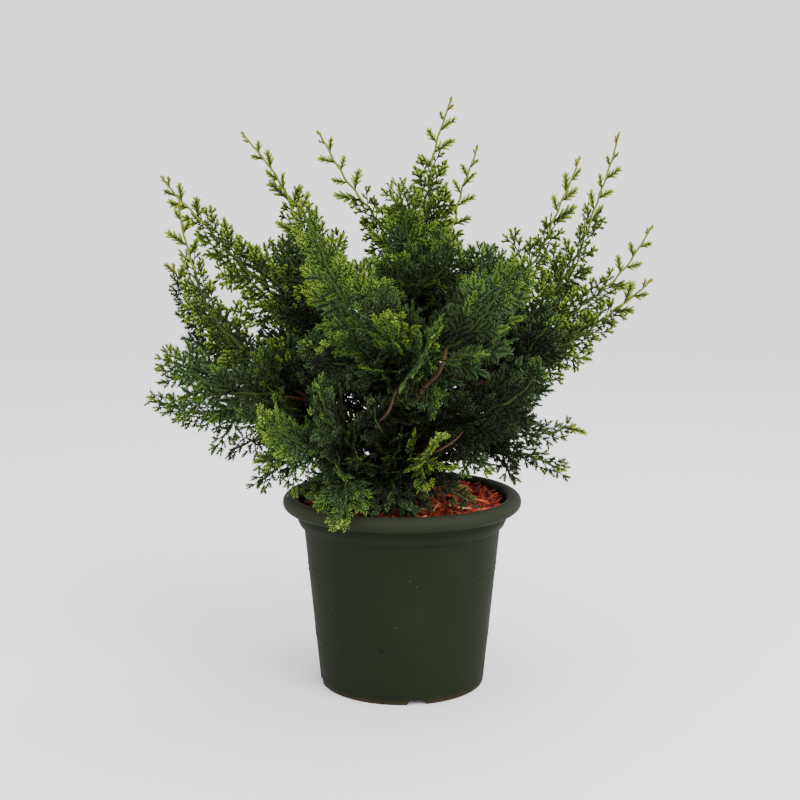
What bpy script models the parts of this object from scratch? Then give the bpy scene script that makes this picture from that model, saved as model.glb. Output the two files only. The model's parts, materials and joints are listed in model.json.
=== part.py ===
"""A dwarf hinoki cypress in its nursery pot, as separate closed solids.

The pot's axis is the Z axis, the pot stands on Z = 0 and -Y is the front.
Headings are degrees round that axis: 0 is +X, 90 is +Y, 180 is -X, 270 is -Y.
All lengths are in metres.
"""
import math
import random
from typing import NamedTuple

import bmesh
import bpy
from mathutils import Matrix, Vector
from mathutils.bvhtree import BVHTree

GAP = 0.0003                      # left between neighbouring solids

# The pot: a tapered wall, a stepped collar and a rolled rim.
POT_STEPS = 28
BASE_RADIUS = 0.0796
WALL_TOP_RADIUS = 0.0948
WALL_TOP = 0.1545
WALL = 0.0018
COLLAR_RADIUS = 0.1015
COLLAR_LOW = 0.1630
COLLAR_HIGH = 0.1715
RIM_RADIUS = 0.1150
RIM_TUBE = 0.0074
RIM_LEVEL = 0.1785                # height of the rolled rim's middle
FLOOR_UNDER = 0.0065
FLOOR_TOP = 0.0090
FOOT_WIDTH = 0.0060
PAD_RADIUS = 0.0160               # the pad under the middle of the floor
NOTCH_COUNT = 4
NOTCH_HEADING = 280.0
NOTCH_WIDE = 0.0215
NOTCH_NARROW = 0.0150
NOTCH_HEIGHT = 0.0058
DRAIN_RADIUS = 0.0050
DRAIN_CIRCLE = 0.0520

# Compost and bark.
FILL_STEPS = POT_STEPS // 2
COMPOST_TOP = 0.1520
BARK_TOP = 0.1680
BARK_BUMP = 0.0018
BARK_SEAT = 0.0300                # flat round the trunk's foot
BARK_SEED = 11

# The trunk leans to the right as it rises.
TRUNK_FOOT = Vector((-0.010, 0.000, BARK_TOP + GAP))
TRUNK_TIP = Vector((0.010, 0.014, 0.350))
TRUNK_SWAY = Vector((-0.006, 0.000, 0.000))
TRUNK_RADIUS = 0.0100
TRUNK_TIP_RADIUS = 0.0030
ROOT_FLARE = 0.0040
TRUNK_SIDES = 8
TRUNK_STATIONS = 8

# Boughs and the stems of the foliage.
BOUGH_SIDES = 5
BOUGH_STATIONS = 5
BOUGH_TIP_RADIUS = 0.0030
BOUGH_SAG = 0.10
STEM_OFFSET = 0.0023              # from a limb's centre line to a stem's, at the limb's tip
STEM_APART = 100.0                # least angle between two stems round a limb's tip
STEM_HALF = 0.00100               # half of a stem's thickness at its foot
STEM_TIP_HALF = 0.00055
TWIG_HALF = 0.00070
TIP_LENGTH = 0.012                # of the point that ends a stem or a twig

# Sprays: flat toothed blades, each a branchlet with its scale leaves.
SPRAY_HALF = 0.00045              # half of a blade's thickness
SPRAY_ANGLES = (56.0, 36.0)       # from the stem, at its foot and at its tip
SPRAY_FIRST = 0.10                # share of the stem below the first spray
SPRAY_FULL = 0.79                 # how far a spray reaches sideways for its length
SPRAY_FILL = 0.46                 # half a spray's width, as a share of the room it has
LONG_SPRAY = 0.028                # from this length a spray has two teeth a side
SPRAY_SCALES = (1.0, 0.75, 0.5)   # tried in turn where a spray would touch something
SPRAY_TILT = 14.0                 # how far sprays leave the plume's flat, in degrees
WHIP_SPRAY = 0.34                 # length of a spray on the bare leader, as a share
WHIP_STEP = 0.023                 # between the sprays on a bare leader
TWIG_SHARES = (0.30, 0.52, 0.42, 0.20)      # where side twigs may leave the stem, in turn
TWIG_SPRAYS = 4
TWIG_LENGTH = 1.15                # a side twig's length, as a share of the longest spray's
TWIG_ANGLE = 40.0                 # between a side twig and its stem, in the plume's flat
TWIG_SAG = 0.05
TWIG_FIRST = 0.20                 # share of a side twig below its first spray
TWIG_RISE = 38.0                  # how far a side twig stands out of the plume's flat
TWIG_SPRAY = 0.42                 # a side twig's sprays, as a share of its length
CROWN_SEED = 4

COLORS = {
    "pot_plastic": ((0.030, 0.047, 0.028), 0.45),
    "compost": ((0.035, 0.022, 0.014), 0.95),
    "bark_mulch": ((0.230, 0.055, 0.018), 0.85),
    "cypress_bark": ((0.190, 0.070, 0.030), 0.80),
    "foliage_dark": ((0.020, 0.060, 0.022), 0.60),
    "foliage_green": ((0.055, 0.140, 0.035), 0.60),
    "foliage_bright": ((0.170, 0.290, 0.050), 0.60),
}


class Bough(NamedTuple):
    """A limb from the trunk to where it enters the foliage."""

    name: str
    leaves_at: float              # height on the trunk
    heading: float                # of its tip
    reach: float                  # of its tip, from the pot's axis
    height: float                 # of its tip
    radius: float                 # at the trunk


class Mass(NamedTuple):
    """A plume of foliage on one stem."""

    name: str
    limb: str                     # the limb whose tip carries it
    heading: float                # of its tip
    reach: float                  # of its tip, from the pot's axis
    height: float                 # of its tip
    sag: float                    # bow of the stem under its chord, as a share of the chord
    spread: float                 # half of the plume's width
    whip: float                   # share of the stem that is a bare leader
    sprays: int                   # on the leafy part of the stem
    twigs: int                    # side twigs, each with sprays of its own
    lift: float                   # how far the plume's flat side looks up, in degrees
    color: str


BOUGHS = (
    Bough("bough_left_high", 0.266, 168, 0.056, 0.326, 0.0042),
    Bough("bough_left_upright", 0.232, 196, 0.096, 0.282, 0.0044),
    Bough("bough_left_back", 0.218, 159, 0.090, 0.262, 0.0042),
    Bough("bough_left_low", 0.205, 192, 0.070, 0.248, 0.0038),
    Bough("bough_front_left", 0.192, 233, 0.060, 0.226, 0.0036),
    Bough("bough_front", 0.207, 265, 0.046, 0.224, 0.0036),
    Bough("bough_front_right", 0.222, 308, 0.050, 0.246, 0.0036),
    Bough("bough_front_high", 0.256, 266, 0.048, 0.296, 0.0040),
    Bough("bough_right_high", 0.241, 4, 0.064, 0.325, 0.0044),
    Bough("bough_right_out", 0.221, 8, 0.082, 0.296, 0.0044),
    Bough("bough_right_low", 0.202, 5, 0.052, 0.234, 0.0036),
    Bough("bough_back_right", 0.207, 53, 0.074, 0.262, 0.0040),
    Bough("bough_back", 0.231, 87, 0.072, 0.280, 0.0040),
    Bough("bough_back_left", 0.242, 129, 0.074, 0.284, 0.0040),
    Bough("bough_back_low", 0.193, 101, 0.064, 0.226, 0.0036),
)

DARK = "foliage_dark"
GREEN = "foliage_green"
BRIGHT = "foliage_bright"

MASSES = (
    Mass("plume_top", "trunk", 32, 0.056, 0.563, -0.08, 0.040, 0.34, 10, 1, 20, GREEN),
    Mass("plume_top_inner", "trunk", 262, 0.022, 0.478, -0.05, 0.036, 0.00, 8, 1, 15, GREEN),
    Mass("plume_top_left", "trunk", 144, 0.102, 0.532, -0.03, 0.027, 0.42, 8, 1, 15, GREEN),
    Mass("plume_top_right", "trunk", 53, 0.126, 0.519, 0.06, 0.022, 0.46, 8, 1, 20, GREEN),
    Mass("plume_left_high", "bough_left_high", 173, 0.233, 0.489, 0.15, 0.038, 0.24, 10, 1, 25, GREEN),
    Mass("plume_left_leader", "bough_left_high", 169, 0.157, 0.530, -0.14, 0.034, 0.42, 8, 1, 20, GREEN),
    Mass("plume_left_upright", "bough_left_upright", 188, 0.207, 0.466, 0.26, 0.038, 0.26, 10, 1, 25, GREEN),
    Mass("plume_left_middle", "bough_left_upright", 203, 0.229, 0.329, 0.24, 0.038, 0.00, 10, 1, 35, GREEN),
    Mass("plume_left_dark", "bough_left_back", 161, 0.243, 0.403, 0.24, 0.036, 0.10, 10, 1, 30, DARK),
    Mass("plume_left_drop", "bough_left_back", 161, 0.180, 0.216, 0.02, 0.028, 0.00, 8, 1, 40, DARK),
    Mass("plume_left_low", "bough_left_low", 185, 0.241, 0.282, 0.12, 0.034, 0.06, 10, 1, 50, GREEN),
    Mass("plume_left_pot", "bough_left_low", 205, 0.144, 0.208, -0.10, 0.026, 0.00, 8, 1, 45, DARK),
    Mass("plume_front_left", "bough_front_left", 229, 0.185, 0.281, 0.15, 0.031, 0.00, 10, 1, 35, BRIGHT),
    Mass("plume_front_rising", "bough_front_left", 240, 0.146, 0.306, 0.15, 0.036, 0.00, 8, 1, 30, GREEN),
    Mass("plume_front_rim", "bough_front_left", 246, 0.136, 0.180, -0.25, 0.030, 0.00, 8, 1, 45, DARK),
    Mass("plume_front_bright", "bough_front", 282, 0.143, 0.265, 0.28, 0.024, 0.00, 10, 1, 30, BRIGHT),
    Mass("plume_front_trailing", "bough_front", 312, 0.095, 0.190, -0.10, 0.018, 0.00, 6, 1, 50, DARK),
    Mass("plume_front_low", "bough_front_right", 320, 0.100, 0.222, -0.10, 0.018, 0.00, 6, 1, 40, DARK),
    Mass("plume_right_front", "bough_front_right", 325, 0.151, 0.315, 0.15, 0.034, 0.00, 10, 1, 30, GREEN),
    Mass("plume_bright", "bough_front_high", 231, 0.141, 0.468, 0.12, 0.040, 0.06, 12, 1, 20, BRIGHT),
    Mass("plume_front_middle", "bough_front_high", 279, 0.162, 0.353, 0.10, 0.042, 0.00, 10, 1, 35, GREEN),
    Mass("plume_front_right", "bough_front_high", 310, 0.157, 0.414, 0.18, 0.042, 0.00, 10, 1, 30, GREEN),
    Mass("plume_right_high", "bough_right_high", 0, 0.166, 0.507, 0.08, 0.036, 0.36, 10, 1, 20, GREEN),
    Mass("plume_right_inner", "bough_right_high", 338, 0.080, 0.425, -0.05, 0.042, 0.00, 10, 1, 20, GREEN),
    Mass("plume_right_leader", "bough_right_out", 16, 0.220, 0.532, 0.16, 0.036, 0.36, 10, 1, 20, GREEN),
    Mass("plume_right_out", "bough_right_out", 9, 0.246, 0.442, 0.16, 0.032, 0.34, 8, 1, 25, GREEN),
    Mass("plume_right_spread", "bough_right_out", 353, 0.233, 0.394, 0.16, 0.027, 0.28, 8, 1, 30, GREEN),
    Mass("plume_right_low", "bough_right_low", 13, 0.174, 0.245, 0.10, 0.026, 0.10, 10, 1, 45, DARK),
    Mass("plume_right_pot", "bough_right_low", 349, 0.153, 0.214, -0.05, 0.026, 0.00, 8, 1, 45, GREEN),
    Mass("plume_back_right_low", "bough_back_right", 45, 0.212, 0.265, 0.10, 0.032, 0.00, 8, 1, 45, GREEN),
    Mass("plume_back_right", "bough_back_right", 51, 0.192, 0.400, 0.15, 0.042, 0.06, 10, 1, 30, DARK),
    Mass("plume_back_low", "bough_back", 81, 0.197, 0.240, 0.05, 0.032, 0.00, 8, 1, 45, DARK),
    Mass("plume_back", "bough_back", 84, 0.156, 0.450, 0.15, 0.042, 0.10, 10, 1, 20, GREEN),
    Mass("plume_back_left_low", "bough_back_left", 128, 0.203, 0.260, 0.10, 0.032, 0.00, 8, 1, 45, DARK),
    Mass("plume_back_left", "bough_back_left", 131, 0.174, 0.440, 0.15, 0.044, 0.10, 10, 1, 25, GREEN),
    Mass("plume_pot_back_left", "bough_back_low", 112, 0.162, 0.200, -0.10, 0.026, 0.00, 8, 1, 45, DARK),
    Mass("plume_pot_back_right", "bough_back_low", 73, 0.152, 0.205, -0.10, 0.026, 0.00, 8, 1, 45, DARK),
)


class Space:
    """What already stands, so that a new twig or spray can be tested against it."""

    def __init__(self, trees=()):
        self.trees = list(trees)

    def add(self, bm):
        """Takes a bmesh's surface into the space."""
        self.trees.append(BVHTree.FromBMesh(bm))

    def add_object(self, obj):
        """Takes an object's surface, as its mesh holds it, into the space."""
        bm = bmesh.new()
        bm.from_mesh(obj.data)
        self.add(bm)
        bm.free()

    def is_free(self, bm):
        """Whether a bmesh touches nothing that stands."""
        tree = BVHTree.FromBMesh(bm)
        return not any(tree.overlap(other) for other in self.trees)


def polar(heading, reach, height):
    """The point at a heading, a distance from the axis and a height."""
    angle = math.radians(heading)
    return Vector((reach * math.cos(angle), reach * math.sin(angle), height))


def make_materials():
    """One Principled material for each finish."""
    materials = {}
    for name, (color, roughness) in COLORS.items():
        material = bpy.data.materials.new(name)
        material.use_nodes = True
        shader = material.node_tree.nodes["Principled BSDF"]
        shader.inputs["Base Color"].default_value = (*color, 1.0)
        shader.inputs["Roughness"].default_value = roughness
        shader.inputs["Metallic"].default_value = 0.0
        material.diffuse_color = (*color, 1.0)
        materials[name] = material
    return materials


def to_object(bm, name, material, smooth_degrees=None):
    """Turns a bmesh into an object of the scene."""
    mesh = bpy.data.meshes.new(name)
    bm.to_mesh(mesh)
    bm.free()
    mesh.materials.append(material)
    if smooth_degrees is not None:
        mesh.shade_smooth()
        mesh.set_sharp_from_angle(angle=math.radians(smooth_degrees))
    obj = bpy.data.objects.new(name, mesh)
    bpy.context.collection.objects.link(obj)
    return obj


def turned(profile, steps):
    """A solid of revolution from a half section that starts and ends on the axis."""
    bm = bmesh.new()
    verts = [bm.verts.new((radius, 0.0, height)) for radius, height in profile]
    edges = [bm.edges.new(pair) for pair in zip(verts, verts[1:])]
    bmesh.ops.spin(bm, geom=verts + edges, cent=(0, 0, 0), axis=(0, 0, 1),
                   angle=math.tau, steps=steps, use_merge=True)
    bmesh.ops.remove_doubles(bm, verts=bm.verts, dist=1e-6)
    bmesh.ops.recalc_face_normals(bm, faces=bm.faces)
    return bm


def swept(points, radii, sides):
    """A closed tube along the points, with one radius for each."""
    bm = bmesh.new()
    bmesh.ops.create_circle(bm, cap_ends=True, segments=sides, radius=1.0)
    cap = bm.faces[:][0]
    heading = Vector((0, 0, 1))
    turn = Matrix.Identity(4)
    last = Matrix.Identity(4)
    for index, (point, radius) in enumerate(zip(points, radii)):
        before = points[max(index - 1, 0)]
        after = points[min(index + 1, len(points) - 1)]
        tangent = (after - before).normalized()
        turn = heading.rotation_difference(tangent).to_matrix().to_4x4() @ turn
        heading = tangent
        if index:
            grown = bmesh.ops.extrude_face_region(bm, geom=[cap])
            if index > 1:
                bmesh.ops.delete(bm, geom=[cap], context="FACES_ONLY")
            cap = [item for item in grown["geom"] if isinstance(item, bmesh.types.BMFace)][0]
        frame = Matrix.Translation(point) @ turn @ Matrix.Scale(radius, 4)
        bmesh.ops.transform(bm, matrix=frame @ last.inverted(), verts=cap.verts)
        last = frame
    bmesh.ops.recalc_face_normals(bm, faces=bm.faces)
    return bm


def boolean(target, operation, operand):
    """Cuts or joins an object with another, or with a collection, and keeps the result."""
    modifier = target.modifiers.new("boolean", "BOOLEAN")
    modifier.operation = operation
    modifier.solver = "EXACT"
    modifier.use_self = operation == "UNION"
    if isinstance(operand, bpy.types.Collection):
        modifier.operand_type = "COLLECTION"
        modifier.collection = operand
    else:
        modifier.object = operand
    graph = bpy.context.evaluated_depsgraph_get()
    result = bpy.data.meshes.new_from_object(target.evaluated_get(graph))
    target.modifiers.remove(modifier)
    old = target.data
    target.data = result
    bpy.data.meshes.remove(old)


def shells(bm):
    """The bmesh's connected pieces, as lists of faces."""
    found = []
    left = set(bm.faces)
    while left:
        piece = [left.pop()]
        for face in piece:
            for edge in face.edges:
                for other in edge.link_faces:
                    if other in left:
                        left.remove(other)
                        piece.append(other)
        found.append(piece)
    return found


def shell_volume(faces):
    """The signed volume inside a shell."""
    total = 0.0
    for face in faces:
        first = face.verts[0].co
        for one, two in zip(face.verts[1:], face.verts[2:]):
            total += first.dot(one.co.cross(two.co)) / 6.0
    return total


def keep_largest_shell(obj):
    """Drops loose scraps and fills sealed hollows: only the outer shell stays."""
    bm = bmesh.new()
    bm.from_mesh(obj.data)
    bmesh.ops.remove_doubles(bm, verts=bm.verts, dist=2e-6)
    bmesh.ops.dissolve_degenerate(bm, edges=bm.edges, dist=2e-6)
    pieces = shells(bm)
    largest = max(pieces, key=shell_volume)
    spare = [face for piece in pieces if piece is not largest for face in piece]
    bmesh.ops.delete(bm, geom=spare, context="FACES")
    wires = [edge for edge in bm.edges if not edge.link_faces]
    bmesh.ops.delete(bm, geom=wires, context="EDGES")
    bm.to_mesh(obj.data)
    bm.free()


def wall_radius(height):
    """Outer radius of the pot's tapered wall."""
    return BASE_RADIUS + (WALL_TOP_RADIUS - BASE_RADIUS) * height / WALL_TOP


def pot_profile():
    """The pot's half section: underside, wall, collar, rolled rim, inside and floor."""
    foot = BASE_RADIUS - FOOT_WIDTH
    under = [(0, 0), (PAD_RADIUS, 0), (PAD_RADIUS, FLOOR_UNDER), (foot, FLOOR_UNDER), (foot, 0)]
    wall = [(BASE_RADIUS - 0.0008, 0), (BASE_RADIUS, 0.0012), (WALL_TOP_RADIUS, WALL_TOP)]
    collar = [(0.0985, 0.1565), (COLLAR_RADIUS, COLLAR_LOW), (COLLAR_RADIUS, COLLAR_HIGH)]
    middle = RIM_RADIUS - RIM_TUBE
    rim = []
    for degrees in (255, 300, 345, 30, 75, 120, 170):
        angle = math.radians(degrees)
        rim.append((middle + RIM_TUBE * math.cos(angle), RIM_LEVEL + RIM_TUBE * math.sin(angle)))
    return under + wall + collar + rim + pot_inside() + [(0, FLOOR_TOP)]


def pot_inside():
    """The inner side of the pot's wall, from the rim down to the floor."""
    return [(COLLAR_RADIUS - WALL, COLLAR_HIGH), (COLLAR_RADIUS - WALL - 0.0010, 0.1580),
            (wall_radius(0.1530) - WALL, 0.1530), (wall_radius(FLOOR_TOP) - WALL, FLOOR_TOP)]


def notch_cutter(heading, material):
    """A wedge that cuts one notch in the pot's foot, wider at the ground."""
    bm = bmesh.new()
    bmesh.ops.create_cube(bm, size=1.0)
    depth = 4 * FOOT_WIDTH
    for vert in bm.verts:
        width = NOTCH_WIDE if vert.co.z < 0 else NOTCH_NARROW
        vert.co.x = BASE_RADIUS + vert.co.x * depth
        vert.co.y *= width
        vert.co.z = -NOTCH_HEIGHT if vert.co.z < 0 else NOTCH_HEIGHT
    turn = Matrix.Rotation(math.radians(heading), 4, "Z")
    bmesh.ops.transform(bm, matrix=turn, verts=bm.verts)
    return to_object(bm, "notch_cutter", material)


def drain_cutter(heading, material):
    """A cylinder that cuts one drain hole through the pot's floor."""
    bm = bmesh.new()
    bmesh.ops.create_cone(bm, cap_ends=True, segments=8, radius1=DRAIN_RADIUS,
                          radius2=DRAIN_RADIUS, depth=4 * (FLOOR_TOP - FLOOR_UNDER))
    place = Matrix.Translation(polar(heading, DRAIN_CIRCLE, (FLOOR_TOP + FLOOR_UNDER) / 2))
    bmesh.ops.transform(bm, matrix=place, verts=bm.verts)
    return to_object(bm, "drain_cutter", material)


def drop(collection):
    """Removes a working collection with its objects."""
    for obj in list(collection.objects):
        bpy.data.objects.remove(obj)
    bpy.data.collections.remove(collection)


def gathered(objects, name):
    """Moves objects into a working collection of their own."""
    collection = bpy.data.collections.new(name)
    bpy.context.scene.collection.children.link(collection)
    for obj in objects:
        for owner in obj.users_collection:
            owner.objects.unlink(obj)
        collection.objects.link(obj)
    return collection


def make_pot(materials):
    """The pot, with the notches in its foot and the drain holes in its floor."""
    material = materials["pot_plastic"]
    pot = to_object(turned(pot_profile(), POT_STEPS), "pot", material)
    cutters = []
    for index in range(NOTCH_COUNT):
        heading = NOTCH_HEADING + index * 360.0 / NOTCH_COUNT
        cutters.append(notch_cutter(heading, material))
        cutters.append(drain_cutter(heading + 180.0 / NOTCH_COUNT, material))
    tools = gathered(cutters, "pot_cutters")
    boolean(pot, "DIFFERENCE", tools)
    drop(tools)
    pot.data.shade_smooth()
    pot.data.set_sharp_from_angle(angle=math.radians(35))
    return pot


def make_root_ball(materials):
    """The compost that fills the pot up to the bark."""
    low = FLOOR_TOP + GAP
    profile = [(0, low), (wall_radius(low) - WALL - 2 * GAP, low),
               (wall_radius(COMPOST_TOP) - WALL - 2 * GAP, COMPOST_TOP), (0, COMPOST_TOP)]
    return to_object(turned(profile, FILL_STEPS), "root_ball", materials["compost"], 35)


def make_bark_mulch(materials):
    """The layer of bark on the compost, uneven on top and flat round the trunk."""
    low = COMPOST_TOP + GAP
    edge = COLLAR_RADIUS - WALL - 0.0010 - 2 * GAP
    profile = [(0, low), (wall_radius(low) - WALL - 3 * GAP, low), (edge, 0.1585),
               (edge, BARK_TOP - 0.0015), (0.088, BARK_TOP), (0.066, BARK_TOP),
               (0.046, BARK_TOP), (BARK_SEAT, BARK_TOP), (0, BARK_TOP)]
    bm = turned(profile, FILL_STEPS)
    dice = random.Random(BARK_SEED)
    for vert in bm.verts:
        reach = math.hypot(vert.co.x, vert.co.y)
        if vert.co.z > BARK_TOP - 0.0005 and BARK_SEAT + 0.001 < reach:
            vert.co.z += dice.uniform(-1.0, 1.0) * BARK_BUMP
    bmesh.ops.triangulate(bm, faces=bm.faces)
    return to_object(bm, "bark_mulch", materials["bark_mulch"])


def trunk_point(share):
    """A point of the trunk's centre line, from its foot at 0 to its tip at 1."""
    return TRUNK_FOOT.lerp(TRUNK_TIP, share) + TRUNK_SWAY * math.sin(math.pi * share)


def trunk_radius(share):
    """The trunk's radius, with the flare at the roots."""
    taper = TRUNK_RADIUS + (TRUNK_TIP_RADIUS - TRUNK_RADIUS) * share
    return taper + ROOT_FLARE * math.exp(-share / 0.05)


def trunk_share(height):
    """Where on the trunk a height lies."""
    return (height - TRUNK_FOOT.z) / (TRUNK_TIP.z - TRUNK_FOOT.z)


def trunk_tube(grow):
    """The trunk's tube, every radius larger by grow and the tip longer by it."""
    shares = [(index / (TRUNK_STATIONS - 1)) ** 1.6 for index in range(TRUNK_STATIONS)]
    points = [trunk_point(share) for share in shares]
    points[-1] = points[-1] + (points[-1] - points[-2]).normalized() * grow
    bm = swept(points, [trunk_radius(share) + grow for share in shares], TRUNK_SIDES)
    for vert in bm.verts:
        if vert.co.z < BARK_TOP + 0.004:
            vert.co.z = TRUNK_FOOT.z
    return bm


def below_chord(chord):
    """The way down, square to a chord."""
    along = chord.normalized()
    up = Vector((0, 0, 1))
    return (along * along.dot(up) - up).normalized()


def bowed(start, end, sag, stations):
    """Points from start to end on a curve that bows under its chord."""
    chord = end - start
    middle = (start + end) / 2 + below_chord(chord) * sag * chord.length
    points = []
    for index in range(stations):
        share = index / (stations - 1)
        points.append(start * (1 - share) ** 2 + middle * 2 * share * (1 - share) + end * share ** 2)
    return points


def tapered(radius, tip_radius, stations):
    """Radii that fall evenly from the foot to the tip."""
    return [radius + (tip_radius - radius) * index / (stations - 1) for index in range(stations)]


def bough_line(bough):
    """The bough's centre line, from inside the trunk."""
    start = trunk_point(trunk_share(bough.leaves_at))
    return bowed(start, polar(bough.heading, bough.reach, bough.height), BOUGH_SAG, BOUGH_STATIONS)


def bough_tube(bough, grow):
    """The bough's tube, every radius larger by grow and the tip longer by it."""
    points = bough_line(bough)
    points[-1] = points[-1] + (points[-1] - points[-2]).normalized() * grow
    radii = [radius + grow for radius in tapered(bough.radius, BOUGH_TIP_RADIUS, BOUGH_STATIONS)]
    return swept(points, radii, BOUGH_SIDES)


def coped(bm, name, material, carrier):
    """An object from the bmesh, cut back where its swollen carrier stands, and smoothed."""
    obj = to_object(bm, name, material)
    cutter = to_object(carrier, "cope_cutter", material)
    boolean(obj, "DIFFERENCE", cutter)
    bpy.data.objects.remove(cutter)
    keep_largest_shell(obj)
    obj.data.shade_smooth()
    obj.data.set_sharp_from_angle(angle=math.radians(60))
    return obj


def make_limbs(materials, space):
    """The trunk and the boughs that leave it."""
    bark = materials["cypress_bark"]
    limbs = [to_object(trunk_tube(0.0), "trunk", bark, 60)]
    for bough in BOUGHS:
        limbs.append(coped(bough_tube(bough, 0.0), bough.name, bark, trunk_tube(GAP)))
    for limb in limbs:
        space.add_object(limb)


def limb_end(limb):
    """A limb's tip and the way it points there."""
    if limb == "trunk":
        tip = trunk_point(1.0)
        return tip, (tip - trunk_point(0.9)).normalized()
    bough = next(item for item in BOUGHS if item.name == limb)
    line = bough_line(bough)
    return line[-1], (line[-1] - line[-2]).normalized()


class Line:
    """A stem's or a twig's centre line: a curve from its foot to its furthest point."""

    def __init__(self, start, way, end, sag):
        chord = end - start
        middle = (start + end) / 2 + below_chord(chord) * sag * chord.length
        self.length = chord.length
        self.knots = (start, start + (middle - start) * 0.45 + way * 0.16 * chord.length,
                      end + (middle - end) * 0.66, end)

    def point(self, share):
        """The point at a share of the way."""
        one, two, three, four = self.knots
        rest = 1.0 - share
        return (one * rest ** 3 + two * 3 * rest ** 2 * share
                + three * 3 * rest * share ** 2 + four * share ** 3)

    def along(self, share):
        """The direction at a share of the way."""
        return (self.point(min(share + 0.01, 1.0)) - self.point(max(share - 0.01, 0.0))).normalized()


def pushed_apart(angles):
    """Angles round a limb, moved until each two neighbours stand far enough apart."""
    angles = list(angles)
    least = min(STEM_APART, 360.0 / len(angles))
    for _ in range(40 * (len(angles) - 1)):
        order = sorted(range(len(angles)), key=lambda index: angles[index] % 360.0)
        for one, two in zip(order, order[1:] + order[:1]):
            short = max(0.0, least - (angles[two] - angles[one]) % 360.0)
            angles[one] -= short / 2
            angles[two] += short / 2
    return angles


def stem_side(mass):
    """The side of its limb's tip where a stem starts: towards its end, apart from the others."""
    tip, way = limb_end(mass.limb)
    first = way.orthogonal().normalized()
    second = way.cross(first)
    siblings = [item for item in MASSES if item.limb == mass.limb]
    toward = [polar(item.heading, item.reach, item.height) - tip for item in siblings]
    angles = pushed_apart(math.degrees(math.atan2(item.dot(second), item.dot(first)))
                          for item in toward)
    angle = math.radians(angles[siblings.index(mass)])
    return first * math.cos(angle) + second * math.sin(angle)


def stem_line(mass):
    """The stem's centre line, from just clear of its limb's tip to the plume's furthest point."""
    tip, way = limb_end(mass.limb)
    start = tip + way * GAP + stem_side(mass) * STEM_OFFSET
    return Line(start, way, polar(mass.heading, mass.reach, mass.height), mass.sag), way


def extended(bm, face, corner, first=False):
    """Extrudes a quad, sends each new corner where corner() says, and returns the new quad."""
    grown = bmesh.ops.extrude_face_region(bm, geom=[face])
    if not first:
        bmesh.ops.delete(bm, geom=[face], context="FACES_ONLY")
    cap = [item for item in grown["geom"] if isinstance(item, bmesh.types.BMFace)][0]
    middle = cap.calc_center_median()
    places = [corner(vert.co - middle) for vert in cap.verts]
    for vert, place in zip(cap.verts, places):
        vert.co = place
    return cap


def pointed(bm, face, apex):
    """Draws a face out to a point."""
    bmesh.ops.poke(bm, faces=[face])["verts"][0].co = apex


def beside(cap, across, side):
    """The face next to the cap on one side."""
    faces = [face for edge in cap.edges for face in edge.link_faces if face is not cap]
    return max(faces, key=lambda face: side * face.calc_center_median().dot(across))


class Frond:
    """A toothed blade in one piece: a rib along a line, with pointed sprays in turn."""

    def __init__(self, line, way, normal, halves):
        self.line = line
        self.way = way
        self.facing = normal
        self.halves = halves
        self.bm = bmesh.new()
        self.slots = []

    def carried(self, normal, shares):
        """A normal carried along the line without twist, from the first share to the last."""
        for share in shares:
            along = self.way if share == 0.0 else self.line.along(share)
            normal = (normal - along * normal.dot(along)).normalized()
            yield share, normal

    def normals(self, shares):
        """The way the blade's flat side looks at each station: as asked for half way along."""
        middle = len(shares) // 2
        found = dict(self.carried(self.facing, shares[middle:]))
        found.update(self.carried(found[shares[middle]], shares[middle - 1::-1]))
        return found

    def grow_rib(self, shares):
        """The rib, with a station at each share; notes the face a spray can start from."""
        cap = None
        side = 1
        normals = self.normals(shares)
        for index, share in enumerate(shares):
            along = self.way if index == 0 else self.line.along(share)
            normal = normals[share]
            across = along.cross(normal)
            half = self.halves[0] + (self.halves[1] - self.halves[0]) * share
            middle = self.line.point(share)

            def corner(offset, middle=middle, across=across, normal=normal, half=half):
                return (middle + across * math.copysign(half, offset.dot(across))
                        + normal * math.copysign(half, offset.dot(normal)))

            if cap is None:
                signs = ((-1, -1), (1, -1), (1, 1), (-1, 1))
                verts = [self.bm.verts.new(corner(across * one + normal * two)) for one, two in signs]
                cap = self.bm.faces.new(verts)
                continue
            cap = extended(self.bm, cap, corner, first=index == 1)
            if index > 1:
                self.slots.append((beside(cap, across, side), share, side, normal))
                side = -side
        pointed(self.bm, cap, self.line.point(1.0))

    def grow_spray(self, face, rib, way, normal, length, half_width):
        """One spray: the face is drawn out in its own plane, with one or two teeth a side.

        rib holds the rib's direction and its normal, which the face's corners follow.
        """
        root = face.calc_center_median()
        across = way.cross(normal)
        stations = ((0.24, 0.30), (0.58, 0.22)) if length >= LONG_SPRAY else ((0.36, 0.26),)
        cap = face
        for index, (share, width) in enumerate(stations):
            middle = root + way * length * share
            wide, thick = (across, normal) if index else rib
            turn = math.copysign(half_width * width, across.dot(wide))

            def corner(offset, middle=middle, turn=turn, wide=wide, thick=thick):
                return (middle + across * math.copysign(1.0, offset.dot(wide)) * turn
                        + normal * math.copysign(SPRAY_HALF, offset.dot(thick)))

            cap = extended(self.bm, cap, corner)
            if index:
                for side in (1, -1):
                    tooth = middle + across * side * half_width + way * length * 0.06
                    pointed(self.bm, beside(cap, across, side), tooth)
        last = stations[-1][0]
        sides = [edge for edge in cap.edges if abs((edge.verts[0].co - edge.verts[1].co).dot(normal)) > SPRAY_HALF]
        pointed(self.bm, cap, root + way * length)
        for edge in sides:
            face = max(edge.link_faces, key=lambda item: item.calc_center_median().dot(way))
            side = math.copysign(1.0, (edge.verts[0].co - root).dot(across))
            share = last + (1.0 - last) * 0.52
            reach = half_width * (0.80 if length < LONG_SPRAY else 0.66)
            pointed(self.bm, face, root + way * length * share + across * side * reach)


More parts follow.
